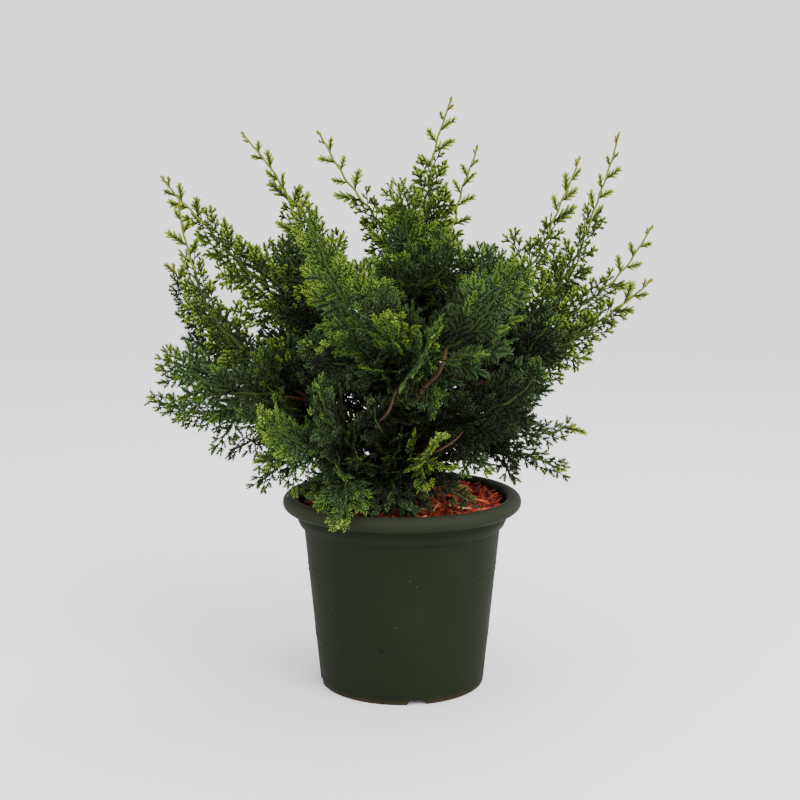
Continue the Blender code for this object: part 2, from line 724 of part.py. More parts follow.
def spray_room(point, way, normal, length, half_width):
    """The room that a spray takes, swollen by the gap: a kite."""
    across = way.cross(normal)
    half = SPRAY_HALF + GAP
    corners = (point, point + way * length * 0.55 + across * half_width,
               point + way * (length + GAP), point + way * length * 0.55 - across * half_width)
    bm = bmesh.new()
    face = bm.faces.new([bm.verts.new(corner - normal * half) for corner in corners])
    grown = bmesh.ops.extrude_face_region(bm, geom=[face])
    top = [item for item in grown["geom"] if isinstance(item, bmesh.types.BMVert)]
    bmesh.ops.translate(bm, vec=normal * 2 * half, verts=top)
    return bm


def plume_normal(mass):
    """The way the plume's flat side looks: the front ones forward, the back ones back."""
    turned_back = math.sin(math.radians(mass.heading)) > 0.5
    middle = 90.0 if turned_back else 270.0
    aside = (mass.heading - middle + 180.0) % 360.0 - 180.0
    look = polar(middle + 0.35 * aside, 1.0, math.tan(math.radians(mass.lift)))
    return look.normalized()


def fullness(share, mass):
    """How long the sprays are along the stem, as a share of the longest."""
    leafy = 1.0 - mass.whip
    if share > leafy:
        return WHIP_SPRAY
    return 0.55 + 0.45 * math.sin(math.pi * min(1.0, 0.20 + 0.85 * share / leafy))


def rib_shares(mass, length):
    """The rib's stations: bare at the foot, close on the leafy part, wide on the leader."""
    last = 1.0 - TIP_LENGTH / length
    leafy = min(1.0 - mass.whip, last)
    shares = [SPRAY_FIRST + (leafy - SPRAY_FIRST) * index / mass.sprays
              for index in range(mass.sprays + 1)]
    few = round((last - leafy) * length / WHIP_STEP)
    return [0.0] + shares + [leafy + (last - leafy) * (index + 1) / few for index in range(few)]


class Plume:
    """Grows one mass: a frond on its stem and fronds on its side twigs, clear of what stands."""

    def __init__(self, mass, space, dice, material):
        self.mass = mass
        self.space = space
        self.dice = dice
        self.material = material
        self.line, self.way = stem_line(mass)
        self.longest = mass.spread / SPRAY_FULL

    def is_free(self, *room):
        """Whether a spray's room touches nothing that stands."""
        trial = spray_room(*room)
        free = self.space.is_free(trial)
        trial.free()
        return free

    def direction(self, along, normal, side, share):
        """A spray's direction at a share of the stem, and the way its flat looks."""
        degrees = SPRAY_ANGLES[0] + (SPRAY_ANGLES[1] - SPRAY_ANGLES[0]) * share
        turn = Matrix.Rotation(math.radians(-side * degrees), 3, normal)
        tilt = Matrix.Rotation(math.radians(self.dice.uniform(-SPRAY_TILT, SPRAY_TILT)), 3, along)
        way = (tilt @ (turn @ along)).normalized()
        return way, (normal - way * normal.dot(way)).normalized()

    def clothe(self, frond, lengths, step):
        """Gives a frond its sprays; one that would touch what stands is shortened or skipped."""
        for face, share, side, facing in frond.slots:
            point = face.calc_center_median()
            along = frond.line.along(share)
            way, normal = self.direction(along, facing, side, share)
            reach = lengths(share) * self.dice.uniform(0.92, 1.08)
            half_width = min(SPRAY_FILL * step * abs(way.cross(along).length), 0.30 * reach)
            for scale in SPRAY_SCALES:
                size = (reach * scale, half_width * scale)
                if self.is_free(point, way, normal, *size):
                    frond.grow_spray(face, (along, facing), way, normal, *size)
                    break
        bmesh.ops.recalc_face_normals(frond.bm, faces=frond.bm.faces)

    def stem(self):
        """The frond on the stem."""
        mass = self.mass
        frond = Frond(self.line, self.way, plume_normal(mass), (STEM_HALF, STEM_TIP_HALF))
        frond.grow_rib(rib_shares(mass, self.line.length))
        step = 2 * self.line.length * (1.0 - mass.whip - SPRAY_FIRST) / mass.sprays
        self.clothe(frond, lambda share: self.longest * fullness(share, mass), step)
        return to_object(frond.bm, mass.name, self.material)

    def twig(self, share, side):
        """The frond on a side twig that stands out of the plume's flat, or None where it can't."""
        point = self.line.point(share)
        along = self.line.along(share)
        facing = plume_normal(self.mass)
        normal = (facing - along * facing.dot(along)).normalized()
        way = Matrix.Rotation(math.radians(-side * TWIG_ANGLE), 3, normal) @ along
        rise = math.radians(TWIG_RISE)
        way = (way * math.cos(rise) + normal * math.sin(rise)).normalized()
        length = TWIG_LENGTH * self.longest
        if not self.is_free(point, way, normal.cross(way).normalized(), length, 2 * TWIG_HALF):
            return None
        line = Line(point, way, point + way * length, TWIG_SAG)
        flat = (normal - way * normal.dot(way)).normalized()
        frond = Frond(line, way, flat, (TWIG_HALF, STEM_TIP_HALF))
        leafy = 1.0 - TIP_LENGTH / length - TWIG_FIRST
        frond.grow_rib([0.0] + [TWIG_FIRST + leafy * index / TWIG_SPRAYS
                                for index in range(TWIG_SPRAYS + 1)])
        step = 2 * length * leafy / TWIG_SPRAYS
        self.clothe(frond, lambda share: TWIG_SPRAY * length * (1.15 - 0.6 * share), step)
        return to_object(frond.bm, "twig", self.material)

    def grow(self):
        """Builds the plume's fronds and joins them into one closed solid."""
        stem = self.stem()
        twigs = []
        for share, side in ((share, side) for share in TWIG_SHARES for side in (1, -1)):
            twig = self.twig(share, side) if len(twigs) < self.mass.twigs else None
            twigs += [twig] if twig else []
        parts = gathered(twigs, "plume_twigs")
        boolean(stem, "UNION", parts)
        drop(parts)
        keep_largest_shell(stem)


def stem_room(mass):
    """The room that a mass's bare stem takes, for the sprays of the others."""
    line, way = stem_line(mass)
    frond = Frond(line, way, plume_normal(mass), (STEM_HALF + GAP, STEM_TIP_HALF + GAP))
    frond.grow_rib(rib_shares(mass, line.length))
    return frond.bm


def make_crown(materials, space):
    """All masses, one after another, each kept clear of the limbs, stems and masses that stand."""
    rooms = {mass.name: stem_room(mass) for mass in MASSES}
    dice = random.Random(CROWN_SEED)
    for mass in MASSES:
        around = Space(space.trees)
        rooms.pop(mass.name).free()
        for room in rooms.values():
            around.add(room)
        Plume(mass, around, dice, materials[mass.color]).grow()
        space.add_object(bpy.data.objects[mass.name])


def main():
    """Clears the scene and builds the pot, its fill, the limbs and the crown."""
    for obj in list(bpy.data.objects):
        bpy.data.objects.remove(obj)
    materials = make_materials()
    space = Space()
    for obj in (make_pot(materials), make_root_ball(materials), make_bark_mulch(materials)):
        space.add_object(obj)
    make_limbs(materials, space)
    make_crown(materials, space)


main()
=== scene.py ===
"""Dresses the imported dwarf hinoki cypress: foliage, bark, mulch and the plastic pot.

The frame is the part's own: metres, +Z up, the pot's axis is the Z axis and -Y is the front.
Headings are degrees round that axis: 0 is +X, 90 is +Y, 180 is -X, 270 is -Y.
"""
from __future__ import annotations

import json
import logging
import math
import random
from dataclasses import dataclass, field
from enum import Enum
from typing import Callable, NamedTuple, Sequence

import bmesh
import bpy
import numpy as np
from mathutils import Matrix, Vector, noise

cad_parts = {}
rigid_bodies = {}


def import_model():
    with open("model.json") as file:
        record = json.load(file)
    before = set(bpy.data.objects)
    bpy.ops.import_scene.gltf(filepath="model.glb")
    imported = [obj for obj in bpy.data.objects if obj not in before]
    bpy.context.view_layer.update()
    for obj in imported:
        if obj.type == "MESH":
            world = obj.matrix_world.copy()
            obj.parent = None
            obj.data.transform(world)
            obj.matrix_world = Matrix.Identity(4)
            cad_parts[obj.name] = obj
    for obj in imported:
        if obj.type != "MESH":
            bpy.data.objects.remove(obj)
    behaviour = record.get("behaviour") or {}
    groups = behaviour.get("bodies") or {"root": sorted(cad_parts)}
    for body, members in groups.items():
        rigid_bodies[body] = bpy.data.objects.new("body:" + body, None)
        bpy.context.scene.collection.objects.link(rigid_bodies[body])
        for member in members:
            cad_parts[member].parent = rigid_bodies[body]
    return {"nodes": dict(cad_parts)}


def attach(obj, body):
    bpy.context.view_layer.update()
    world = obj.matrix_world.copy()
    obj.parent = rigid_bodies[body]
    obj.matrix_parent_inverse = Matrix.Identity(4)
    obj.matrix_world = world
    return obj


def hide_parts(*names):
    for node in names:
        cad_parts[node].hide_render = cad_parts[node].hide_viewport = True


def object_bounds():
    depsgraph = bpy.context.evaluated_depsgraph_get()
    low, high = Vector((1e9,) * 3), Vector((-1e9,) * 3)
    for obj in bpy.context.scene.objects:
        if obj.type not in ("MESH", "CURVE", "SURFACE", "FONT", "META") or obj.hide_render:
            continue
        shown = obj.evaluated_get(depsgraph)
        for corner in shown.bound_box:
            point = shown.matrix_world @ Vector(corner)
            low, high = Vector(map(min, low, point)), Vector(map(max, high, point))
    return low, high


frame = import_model()
CAD_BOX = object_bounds()

LOG = logging.getLogger("cypress")
BODY = "root"
TIP = "tip"  # the attribute that runs from a lobe's foot to its tip; the leaves' painted shade follows it
UP = Vector((0.0, 0.0, 1.0))
VIEWPOINT = (-0.002, -1.3632, 0.4821)  # the camera's; the openings look there
Pair = tuple[float, float]
Triple = tuple[float, float, float]
Color = Triple
Material = bpy.types.Material
Object = bpy.types.Object
Socket = bpy.types.NodeSocket
BMesh = bmesh.types.BMesh
Path = Callable[[float], Vector]  # a point by its share of the way
Course = Callable[[float], float]  # a size by its share of the way


# --- Sizes of the limbs and the plumes, and the rule that places them ---

class Bough(NamedTuple):
    """A limb from the trunk to where it enters the foliage."""

    name: str
    leaves_at: float  # height on the trunk
    heading: float  # of its tip
    reach: float  # of its tip, from the pot's axis
    height: float  # of its tip
    radius: float  # at the trunk

    @property
    def node(self) -> str:
        """The name of its node."""
        return "bough_" + self.name


class BareTwig(NamedTuple):
    """A bare twig under the front foliage, which stands open before a part of it."""

    name: str
    points: tuple[Triple, ...]
    radii: Pair  # at its foot and its tip
    opening: Pair  # the shares between which the foliage stands open


class Mass(NamedTuple):
    """A plume of foliage on one stem."""

    name: str
    limb: str  # the trunk, or the bough whose tip carries it
    heading: float  # of its tip
    reach: float  # of its tip, from the pot's axis
    height: float  # of its tip
    sag: float  # bow of the stem under its chord, as a share of the chord
    spread: float  # half of the plume's width
    lift: float  # how far the plume's flat side looks up, in degrees
    tone: float  # from 0, deep green, to 1, yellow-green; the low tones are partly painted shade
    whip: float = 0.0  # share of the stem that is a bare leader


BOUGHS = tuple(Bough(*row) for row in (
    ("left_high", 0.266, 168, 0.056, 0.326, 0.0042),
    ("left_upright", 0.232, 196, 0.096, 0.282, 0.0044),
    ("left_back", 0.218, 159, 0.090, 0.262, 0.0042),
    ("left_low", 0.205, 192, 0.070, 0.248, 0.0038),
    ("front_left", 0.192, 233, 0.060, 0.226, 0.0036),
    ("front", 0.207, 265, 0.046, 0.224, 0.0036),
    ("front_right", 0.222, 308, 0.050, 0.246, 0.0036),
    ("front_high", 0.256, 266, 0.048, 0.296, 0.0040),
    ("right_high", 0.241, 4, 0.064, 0.325, 0.0044),
    ("right_out", 0.221, 8, 0.082, 0.296, 0.0044),
    ("right_low", 0.202, 5, 0.052, 0.234, 0.0036),
    ("back_right", 0.207, 53, 0.074, 0.262, 0.0040),
    ("back", 0.231, 87, 0.072, 0.280, 0.0040),
    ("back_left", 0.242, 129, 0.074, 0.284, 0.0040),
    ("back_low", 0.193, 101, 0.064, 0.226, 0.0036),
))

MASSES = tuple(Mass(*row) for row in (
    ("top", "trunk", 32, 0.056, 0.563, -0.08, 0.036, 20, 0.68, 0.34),
    ("top_inner", "trunk", 262, 0.022, 0.478, -0.05, 0.032, 15, 0.66),
    ("top_left", "trunk", 144, 0.102, 0.532, -0.03, 0.027, 15, 0.62, 0.42),
    ("top_right", "trunk", 53, 0.126, 0.519, 0.06, 0.016, 20, 0.62, 0.55),
    ("left_high", "left_high", 173, 0.233, 0.489, 0.10, 0.036, 25, 0.72, 0.24),
    ("left_leader", "left_high", 169, 0.157, 0.530, -0.14, 0.034, 20, 0.55, 0.42),
    ("left_upright", "left_upright", 188, 0.207, 0.466, 0.28, 0.028, 25, 0.66, 0.26),
    ("left_middle", "left_upright", 203, 0.229, 0.329, 0.24, 0.038, 35, 0.53),
    ("left_dark", "left_back", 161, 0.243, 0.403, 0.28, 0.036, 30, 0.30, 0.10),
    ("left_drop", "left_back", 161, 0.180, 0.216, 0.02, 0.028, 40, 0.08),
    ("left_low", "left_low", 185, 0.241, 0.282, 0.12, 0.026, 40, 0.50, 0.06),
    ("left_pot", "left_low", 205, 0.144, 0.208, -0.10, 0.028, 40, 0.42),
    ("front_left", "front_left", 229, 0.185, 0.281, 0.15, 0.031, 35, 0.58),
    ("front_rising", "front_left", 240, 0.146, 0.306, 0.15, 0.036, 30, 0.38),
    ("front_rim", "front_left", 246, 0.136, 0.186, -0.25, 0.030, 45, 0.50),
    ("front_bright", "front", 282, 0.143, 0.265, 0.28, 0.021, 30, 0.74),
    ("front_trailing", "front", 312, 0.095, 0.190, -0.10, 0.013, 50, 0.30),
    ("front_low", "front_right", 320, 0.100, 0.222, -0.10, 0.016, 40, 0.42),
    ("right_front", "front_right", 325, 0.151, 0.315, 0.15, 0.034, 30, 0.28),
    ("bright", "front_high", 231, 0.141, 0.468, 0.12, 0.036, 20, 0.66, 0.06),
    ("front_middle", "front_high", 279, 0.162, 0.353, 0.10, 0.042, 35, 0.48),
    ("front_right", "front_high", 310, 0.157, 0.414, 0.18, 0.042, 30, 0.46),
    ("right_high", "right_high", 0, 0.166, 0.507, 0.13, 0.027, 20, 0.70, 0.36),
    ("right_inner", "right_high", 338, 0.080, 0.418, -0.05, 0.042, 20, 0.42),
    ("right_leader", "right_out", 16, 0.220, 0.532, 0.16, 0.034, 20, 0.69, 0.36),
    ("right_out", "right_out", 9, 0.246, 0.442, 0.16, 0.031, 25, 0.69, 0.34),
    ("right_spread", "right_out", 353, 0.233, 0.394, 0.16, 0.027, 30, 0.64, 0.28),
    ("right_low", "right_low", 13, 0.174, 0.245, 0.10, 0.018, 20, 0.42, 0.10),
    ("right_pot", "right_low", 349, 0.153, 0.214, -0.05, 0.021, 20, 0.40),
    ("back_right_low", "back_right", 45, 0.212, 0.265, 0.10, 0.032, 45, 0.35),
    ("back_right", "back_right", 51, 0.192, 0.400, 0.15, 0.042, 30, 0.35, 0.06),
    ("back_low", "back", 81, 0.197, 0.240, 0.05, 0.032, 45, 0.30),
    ("back", "back", 84, 0.156, 0.450, 0.15, 0.042, 20, 0.45, 0.10),
    ("back_left_low", "back_left", 128, 0.203, 0.260, 0.10, 0.032, 45, 0.30),
    ("back_left", "back_left", 131, 0.174, 0.440, 0.15, 0.044, 25, 0.45, 0.10),
    ("pot_back_left", "back_low", 112, 0.162, 0.200, -0.10, 0.026, 45, 0.25),
    ("pot_back_right", "back_low", 73, 0.152, 0.205, -0.10, 0.026, 45, 0.25),
))

# Smaller plumes on the same limbs, in the inside of the crown.
INNER = tuple(Mass(*row) for row in (
    ("front_foot", "front", 262, 0.098, 0.197, -0.15, 0.026, 40, 0.22),
    ("front_left_foot", "front_left", 226, 0.106, 0.204, -0.12, 0.028, 40, 0.25),
    ("front_mid_foot", "front_left", 249, 0.088, 0.196, -0.15, 0.024, 45, 0.15),
    ("front", "front", 254, 0.094, 0.286, 0.15, 0.028, 30, 0.25),
    ("front_right", "front_right", 289, 0.092, 0.312, 0.15, 0.028, 30, 0.30),
    ("centre", "front_high", 258, 0.110, 0.392, 0.10, 0.034, 25, 0.42),
    ("centre_left", "front_high", 226, 0.120, 0.340, 0.15, 0.034, 30, 0.30),
    ("left", "left_upright", 200, 0.112, 0.318, 0.12, 0.028, 30, 0.25),
    ("left_back", "left_back", 178, 0.128, 0.318, 0.18, 0.032, 30, 0.12),
    ("left_low", "left_low", 200, 0.142, 0.262, 0.08, 0.028, 45, 0.20),
    ("left_top", "left_high", 176, 0.116, 0.424, 0.05, 0.034, 20, 0.35),
    ("right", "right_out", 348, 0.140, 0.352, 0.16, 0.034, 30, 0.28),
    ("right_low", "right_low", 338, 0.125, 0.266, 0.12, 0.028, 40, 0.15),
    ("right_mid", "right_low", 4, 0.118, 0.298, 0.18, 0.028, 35, 0.20),
    ("right_top", "right_high", 30, 0.110, 0.410, 0.05, 0.032, 20, 0.35),
    ("trunk_front", "trunk", 262, 0.050, 0.412, 0.05, 0.030, 15, 0.48),
    ("trunk_left", "trunk", 212, 0.060, 0.402, 0.05, 0.028, 15, 0.42),
    ("trunk_right", "trunk", 318, 0.062, 0.424, 0.05, 0.030, 15, 0.46),
    ("foot_left", "front_left", 208, 0.094, 0.206, -0.10, 0.024, 40, 0.15),
    ("foot_middle", "front", 274, 0.086, 0.196, -0.15, 0.024, 40, 0.20),
    ("foot_high", "front", 268, 0.078, 0.250, 0.10, 0.024, 30, 0.15),
    ("front_fan", "front_high", 267, 0.124, 0.364, 0.08, 0.034, 35, 0.62),
    ("left_front", "left_low", 211, 0.132, 0.288, 0.10, 0.030, 35, 0.38),
    ("rim_left", "front_left", 221, 0.102, 0.193, -0.10, 0.022, 45, 0.38),
    ("rim_middle", "front", 254, 0.104, 0.190, -0.15, 0.022, 45, 0.25),
    ("back_right", "back_right", 33, 0.150, 0.330, 0.15, 0.034, 35, 0.30),
    ("back", "back", 98, 0.160, 0.340, 0.15, 0.036, 35, 0.35),
    ("back_left", "back_left", 148, 0.165, 0.340, 0.15, 0.034, 35, 0.35),
    ("back_foot", "back_low", 92, 0.130, 0.260, 0.05, 0.030, 40, 0.20),
))

BARE_TWIGS = (
    BareTwig("front_fork_left",
             ((-0.0040, 0.0000, 0.2320), (-0.0240, -0.0200, 0.2430), (-0.0365, -0.0440, 0.2540),
              (-0.0266, -0.0700, 0.2634), (-0.0154, -0.0880, 0.2746), (-0.0100, -0.0960, 0.2849),
              (-0.0064, -0.0970, 0.2959), (0.0010, -0.0760, 0.3060)),
             (0.0017, 0.0009), (0.43, 0.84)),
    BareTwig("front_fork_right",
             ((0.0070, -0.0120, 0.2260), (0.0081, -0.0520, 0.2650), (0.0160, -0.0800, 0.2934),
              (0.0248, -0.0880, 0.3054), (0.0327, -0.0930, 0.3150), (0.0370, -0.0950, 0.3269),
              (0.0400, -0.0780, 0.3400)),
             (0.0023, 0.0015), (0.36, 0.90)),
    BareTwig("front_fork_low",
             ((0.0100, -0.0190, 0.2300), (0.0200, -0.0480, 0.2330), (0.0318, -0.0700, 0.2393),
              (0.0481, -0.0720, 0.2499), (0.0570, -0.0620, 0.2580)),
             (0.0016, 0.0008), (0.48, 0.72)),
)

GAP = 0.0003  # between a limb's tip and a stem on it
BARK_TOP = 0.1680  # of the mulch's solid
TRUNK_FOOT = Vector((-0.010, 0.000, BARK_TOP + GAP))
TRUNK_TIP = Vector((0.010, 0.014, 0.350))
TRUNK_SWAY = Vector((-0.006, 0.000, 0.000))  # half way up
TRUNK_RADII = (0.0100, 0.0030)  # above the roots, and at its tip
ROOT_FLARE = 0.0040  # how much wider the trunk is at the roots
FLARE_SHARE = 0.05  # share of the trunk in which the flare fades
BOUGH_TIP_RADIUS = 0.0030
BOUGH_SAG = 0.10  # as a share of the bough's chord
STEM_OFFSET = 0.0023  # of a stem's foot from the middle of its limb's tip
STEM_APART = 100.0  # degrees between neighbouring stems round a limb's tip
STEM_PUSHES = 40  # rounds of pushing for each neighbour
BACK_FROM = 0.5  # sine of the heading beyond which a plume looks back
LOOK_ASIDE = 0.35  # how far a plume's look follows its heading
SPRAY_ANGLES = (56.0, 36.0)  # from the stem, at its foot and at its tip
SPRAY_FULL = 0.79  # how much of a spray's length counts across the plume
FULLNESS = (0.55, 0.45)  # the sprays' least length and the rest, as shares
FULL_FROM = (0.20, 0.85)  # where along the rise to the longest they start, and the rate
TWIG_ANGLE = 40.0  # of a side twig from its stem
TWIG_RISE = 38.0  # of a side twig out of the plume's flat


def between(ends: Pair, share: float) -> float:
    """The value at a share of the way from the first end to the second."""
    return ends[0] + (ends[1] - ends[0]) * share


def polar(heading: float, reach: float, height: float) -> Vector:
    """A point from its heading in degrees, its distance from the axis and its height."""
    angle = math.radians(heading)
    return Vector((reach * math.cos(angle), reach * math.sin(angle), height))


def below_chord(chord: Vector) -> Vector:
    """The way down, square to a chord."""
    along = chord.normalized()
    return (along * along.dot(UP) - UP).normalized()


def trunk_point(share: float) -> Vector:
    """A point of the trunk's centre line, from its foot at 0 to its tip at 1."""
    return TRUNK_FOOT.lerp(TRUNK_TIP, share) + TRUNK_SWAY * math.sin(math.pi * share)


def trunk_radius(share: float) -> float:
    """The trunk's radius, with the flare at the roots."""
    return between(TRUNK_RADII, share) + ROOT_FLARE * math.exp(-share / FLARE_SHARE)


def bough_point(bough: Bough, share: float) -> Vector:
    """A point of a bough's centre line, which starts inside the trunk.

    Args:
        bough: the bough.
        share: from 0 at the trunk to 1 at the bough's tip.

    Returns:
        The point.
    """
    start = trunk_point((bough.leaves_at - TRUNK_FOOT.z) / (TRUNK_TIP.z - TRUNK_FOOT.z))
    end = polar(bough.heading, bough.reach, bough.height)
    chord = end - start
    middle = (start + end) / 2 + below_chord(chord) * BOUGH_SAG * chord.length
    return start * (1 - share) ** 2 + middle * 2 * share * (1 - share) + end * share ** 2


def twig_point(twig: BareTwig, share: float) -> Vector:
    """A point of a bare twig's centre line, which passes smoothly through its points.

    Args:
        twig: the twig.
        share: from 0 at its foot to 1 at its tip.

    Returns:
        The point.
    """
    last = len(twig.points) - 1
    index = min(int(share * last), last - 1)
    part = share * last - index
    before, here, there, after = (Vector(twig.points[min(max(at, 0), last)])
                                  for at in range(index - 1, index + 3))
    return (here + (there - before) * part / 2
            + (before * 2 - here * 5 + there * 4 - after) * part ** 2 / 2
            + (here * 3 - before - there * 3 + after) * part ** 3 / 2)


def limb_end(limb: str) -> tuple[Vector, Vector]:
    """A limb's tip and the way it points there.

    Args:
        limb: its name.

    Returns:
        The tip and the direction there.
    """
    if limb == "trunk":
        tip = trunk_point(1.0)
        return tip, (tip - trunk_point(0.9)).normalized()
    bough = next(item for item in BOUGHS if item.name == limb)
    tip = bough_point(bough, 1.0)
    return tip, (tip - bough_point(bough, 0.75)).normalized()


class Line:
    """The centre line of a stem, a twig or a spray, with the flat's normal carried along it."""

    STATIONS = 33
    STEP = 0.01  # share on each side of a point that gives its direction
    FOOT_KNOT = (0.45, 0.16)  # towards the middle, and along the foot's direction
    TIP_KNOT = 0.66  # towards the middle
    SWING = 3.2  # half turns of the wave along the line
    ZIGZAG_LENGTH = 0.024

    def __init__(self, start: Vector, way: Vector, end: Vector, sag: float, facing: Vector,
                 wave: float = 0.0, zigzag: float = 0.0) -> None:
        """Sets the curve.

        Args:
            start: its foot.
            way: its direction at the foot.
            end: its furthest point.
            sag: bow under its chord, as a share of the chord.
            facing: the way the flat side looks, half way along.
            wave: how far it swings from side to side.
            zigzag: how far it bends at each node.
        """
        chord = end - start
        middle = (start + end) / 2 + below_chord(chord) * sag * chord.length
        self.length = chord.length
        pull, push = self.FOOT_KNOT
        self.knots = (start, start + (middle - start) * pull + way * push * chord.length,
                      end + (middle - end) * self.TIP_KNOT, end)
        self.aside = chord.cross(facing).normalized()
        self.wave = wave
        self.zigzag = zigzag
        self.normals = self._carried(facing)

    def point(self, share: float) -> Vector:
        """The point at a share of the way.

        Args:
            share: from 0 at the foot to 1 at the tip.

        Returns:
            The point.
        """
        one, two, three, four = self.knots
        rest = 1.0 - share
        swing = self.wave * math.sin(self.SWING * math.pi * share)
        swing += self.zigzag * math.sin(2 * math.pi * share * self.length / self.ZIGZAG_LENGTH)
        return (one * rest ** 3 + two * 3 * rest ** 2 * share + three * 3 * rest * share ** 2
                + four * share ** 3 + self.aside * swing * math.sin(math.pi * share))

    def along(self, share: float) -> Vector:
        """The direction at a share of the way."""
        ahead = self.point(min(share + self.STEP, 1.0))
        return (ahead - self.point(max(share - self.STEP, 0.0))).normalized()

    def normal(self, share: float) -> Vector:
        """The way the flat side looks at a share of the way.

        Args:
            share: from 0 at the foot to 1 at the tip.

        Returns:
            The direction.
        """
        near = self.normals[min(self.STATIONS - 1, round(share * (self.STATIONS - 1)))]
        along = self.along(share)
        return (near - along * near.dot(along)).normalized()

    def _carried(self, facing: Vector) -> list[Vector]:
        """Carries the normal without twist from half way along to both ends.

        Args:
            facing: the normal half way along.

        Returns:
            One normal a station.
        """
        middle = self.STATIONS // 2
        found: dict[int, Vector] = {}
        for stations in (range(middle, self.STATIONS), range(middle, -1, -1)):
            normal = facing
            for station in stations:
                along = self.along(station / (self.STATIONS - 1))
                normal = (normal - along * normal.dot(along)).normalized()
                found[station] = normal
        return [found[station] for station in range(self.STATIONS)]


def pushed_apart(angles: Sequence[float]) -> list[float]:
    """Angles round a limb, moved until each two neighbours stand far enough apart.

    Args:
        angles: in degrees.

    Returns:
        The moved angles.
    """
    moved = list(angles)
    least = min(STEM_APART, 360.0 / len(moved))
    for _ in range(STEM_PUSHES * (len(moved) - 1)):
        order = sorted(range(len(moved)), key=lambda index: moved[index] % 360.0)
        for one, two in zip(order, order[1:] + order[:1]):
            short = max(0.0, least - (moved[two] - moved[one]) % 360.0)
            moved[one] -= short / 2
            moved[two] += short / 2
    return moved


def stem_side(mass: Mass) -> Vector:
    """The side of its limb's tip where a stem starts: towards its end, apart from the others.

    Args:
        mass: the stem's plume.

    Returns:
        The direction.
    """
    tip, way = limb_end(mass.limb)
    first = way.orthogonal().normalized()
    second = way.cross(first)
    siblings = [item for item in (INNER if mass in INNER else MASSES) if item.limb == mass.limb]
    toward = [polar(item.heading, item.reach, item.height) - tip for item in siblings]
    angles = pushed_apart([math.degrees(math.atan2(item.dot(second), item.dot(first)))
                           for item in toward])
    angle = math.radians(angles[siblings.index(mass)])
    return first * math.cos(angle) + second * math.sin(angle)


def plume_normal(mass: Mass) -> Vector:
    """The way the plume's flat side looks: the front ones forward, the back ones back.

    Args:
        mass: the plume.

    Returns:
        The direction.
    """
    turned_back = math.sin(math.radians(mass.heading)) > BACK_FROM
    middle = 90.0 if turned_back else 270.0
    aside = (mass.heading - middle + 180.0) % 360.0 - 180.0
    look = polar(middle + LOOK_ASIDE * aside, 1.0, math.tan(math.radians(mass.lift)))
    return look.normalized()


def fullness(share: float, mass: Mass) -> float:
    """How long the sprays are along the leafy part of the stem, as a share of the longest.

    Args:
        share: how far along the stem.
        mass: the plume.

    Returns:
        The share.
    """
    least, rest = FULLNESS
    begin, rate = FULL_FROM
    return least + rest * math.sin(math.pi * min(1.0, begin + rate * share / (1.0 - mass.whip)))


# --- Shader groups and finishes ---

class Tree:
    """Builds one node tree, a material's or a group's."""

    def __init__(self, tree: bpy.types.NodeTree) -> None:
        """Keeps the tree."""
        self.tree = tree

    def add(self, kind: str, inputs: dict[str | int, object] | None = None,
            **settings: object) -> bpy.types.Node:
        """Adds a node.

        Args:
            kind: the node's type, such as ShaderNodeMix.
            inputs: by name or place, each a value or the output that feeds it.
            settings: its properties by name.

        Returns:
            The node.
        """
        node = self.tree.nodes.new(kind)
        for name, value in settings.items():
            setattr(node, name, value)
        for name, value in (inputs or {}).items():
            self.feed(node.inputs[name], value)
        return node

    def feed(self, socket: Socket, value: object) -> None:
        """Sets an input to a value, or links it to an output."""
        if isinstance(value, Socket):
            self.tree.links.new(value, socket)
        else:
            socket.default_value = value

    def coordinates(self) -> Socket:
        """The Object coordinates."""
        return self.add("ShaderNodeTexCoord").outputs["Object"]

    def attribute(self, name: str, output: str) -> Socket:
        """A mesh's own attribute."""
        return self.add("ShaderNodeAttribute", attribute_name=name).outputs[output]

    def math(self, operation: str, *terms: object) -> Socket:
        """The result of one operation on values or outputs."""
        return self.add("ShaderNodeMath", dict(enumerate(terms)), operation=operation).outputs[0]

    def noise(self, vector: Socket, scale: object, **values: float) -> Socket:
        """A noise pattern that follows a vector, from 0 to 1."""
        inputs = {"Vector": vector, "Scale": scale, **values}
        return self.add("ShaderNodeTexNoise", inputs).outputs["Fac"]

    def ramp(self, source: Socket, low: float, high: float) -> Socket:
        """A value that rises from 0 at low to 1 at high, and stays between them."""
        inputs = {"Value": source, "From Min": low, "From Max": high}
        return self.add("ShaderNodeMapRange", inputs).outputs["Result"]

    def mix(self, factor: Socket, one: object, two: object) -> Socket:
        """Mixes two colours, each a colour or an output.

        Args:
            factor: the second colour's share.
            one: the first.
            two: the second.

        Returns:
            The output.
        """
        node = self.add("ShaderNodeMix", {"Factor": factor}, data_type="RGBA")
        for name, value in (("A", one), ("B", two)):
            socket = next(item for item in node.inputs if item.name == name and item.type == "RGBA")
            self.feed(socket, value if isinstance(value, Socket) else (*value, 1.0))
        return next(item for item in node.outputs if item.type == "RGBA")


class Group(Tree):
    """One shader group under construction: a Vector, float inputs and one float output."""

    def __init__(self, name: str, inputs: dict[str, float], output: str) -> None:
        """Starts the group.

        Args:
            name: the group's name.
            inputs: its float inputs' values by name.
            output: its output's name.
        """
        super().__init__(bpy.data.node_groups.new(name, "ShaderNodeTree"))
        interface = self.tree.interface
        interface.new_socket("Vector", in_out="INPUT", socket_type="NodeSocketVector")
        for label, value in inputs.items():
            socket = interface.new_socket(label, in_out="INPUT", socket_type="NodeSocketFloat")
            socket.default_value = value
        interface.new_socket(output, in_out="OUTPUT", socket_type="NodeSocketFloat")
        self.given = self.add("NodeGroupInput").outputs

    def finished(self, value: Socket) -> bpy.types.NodeTree:
        """Links the output and returns the group."""
        self.add("NodeGroupOutput", {0: value})
        return self.tree


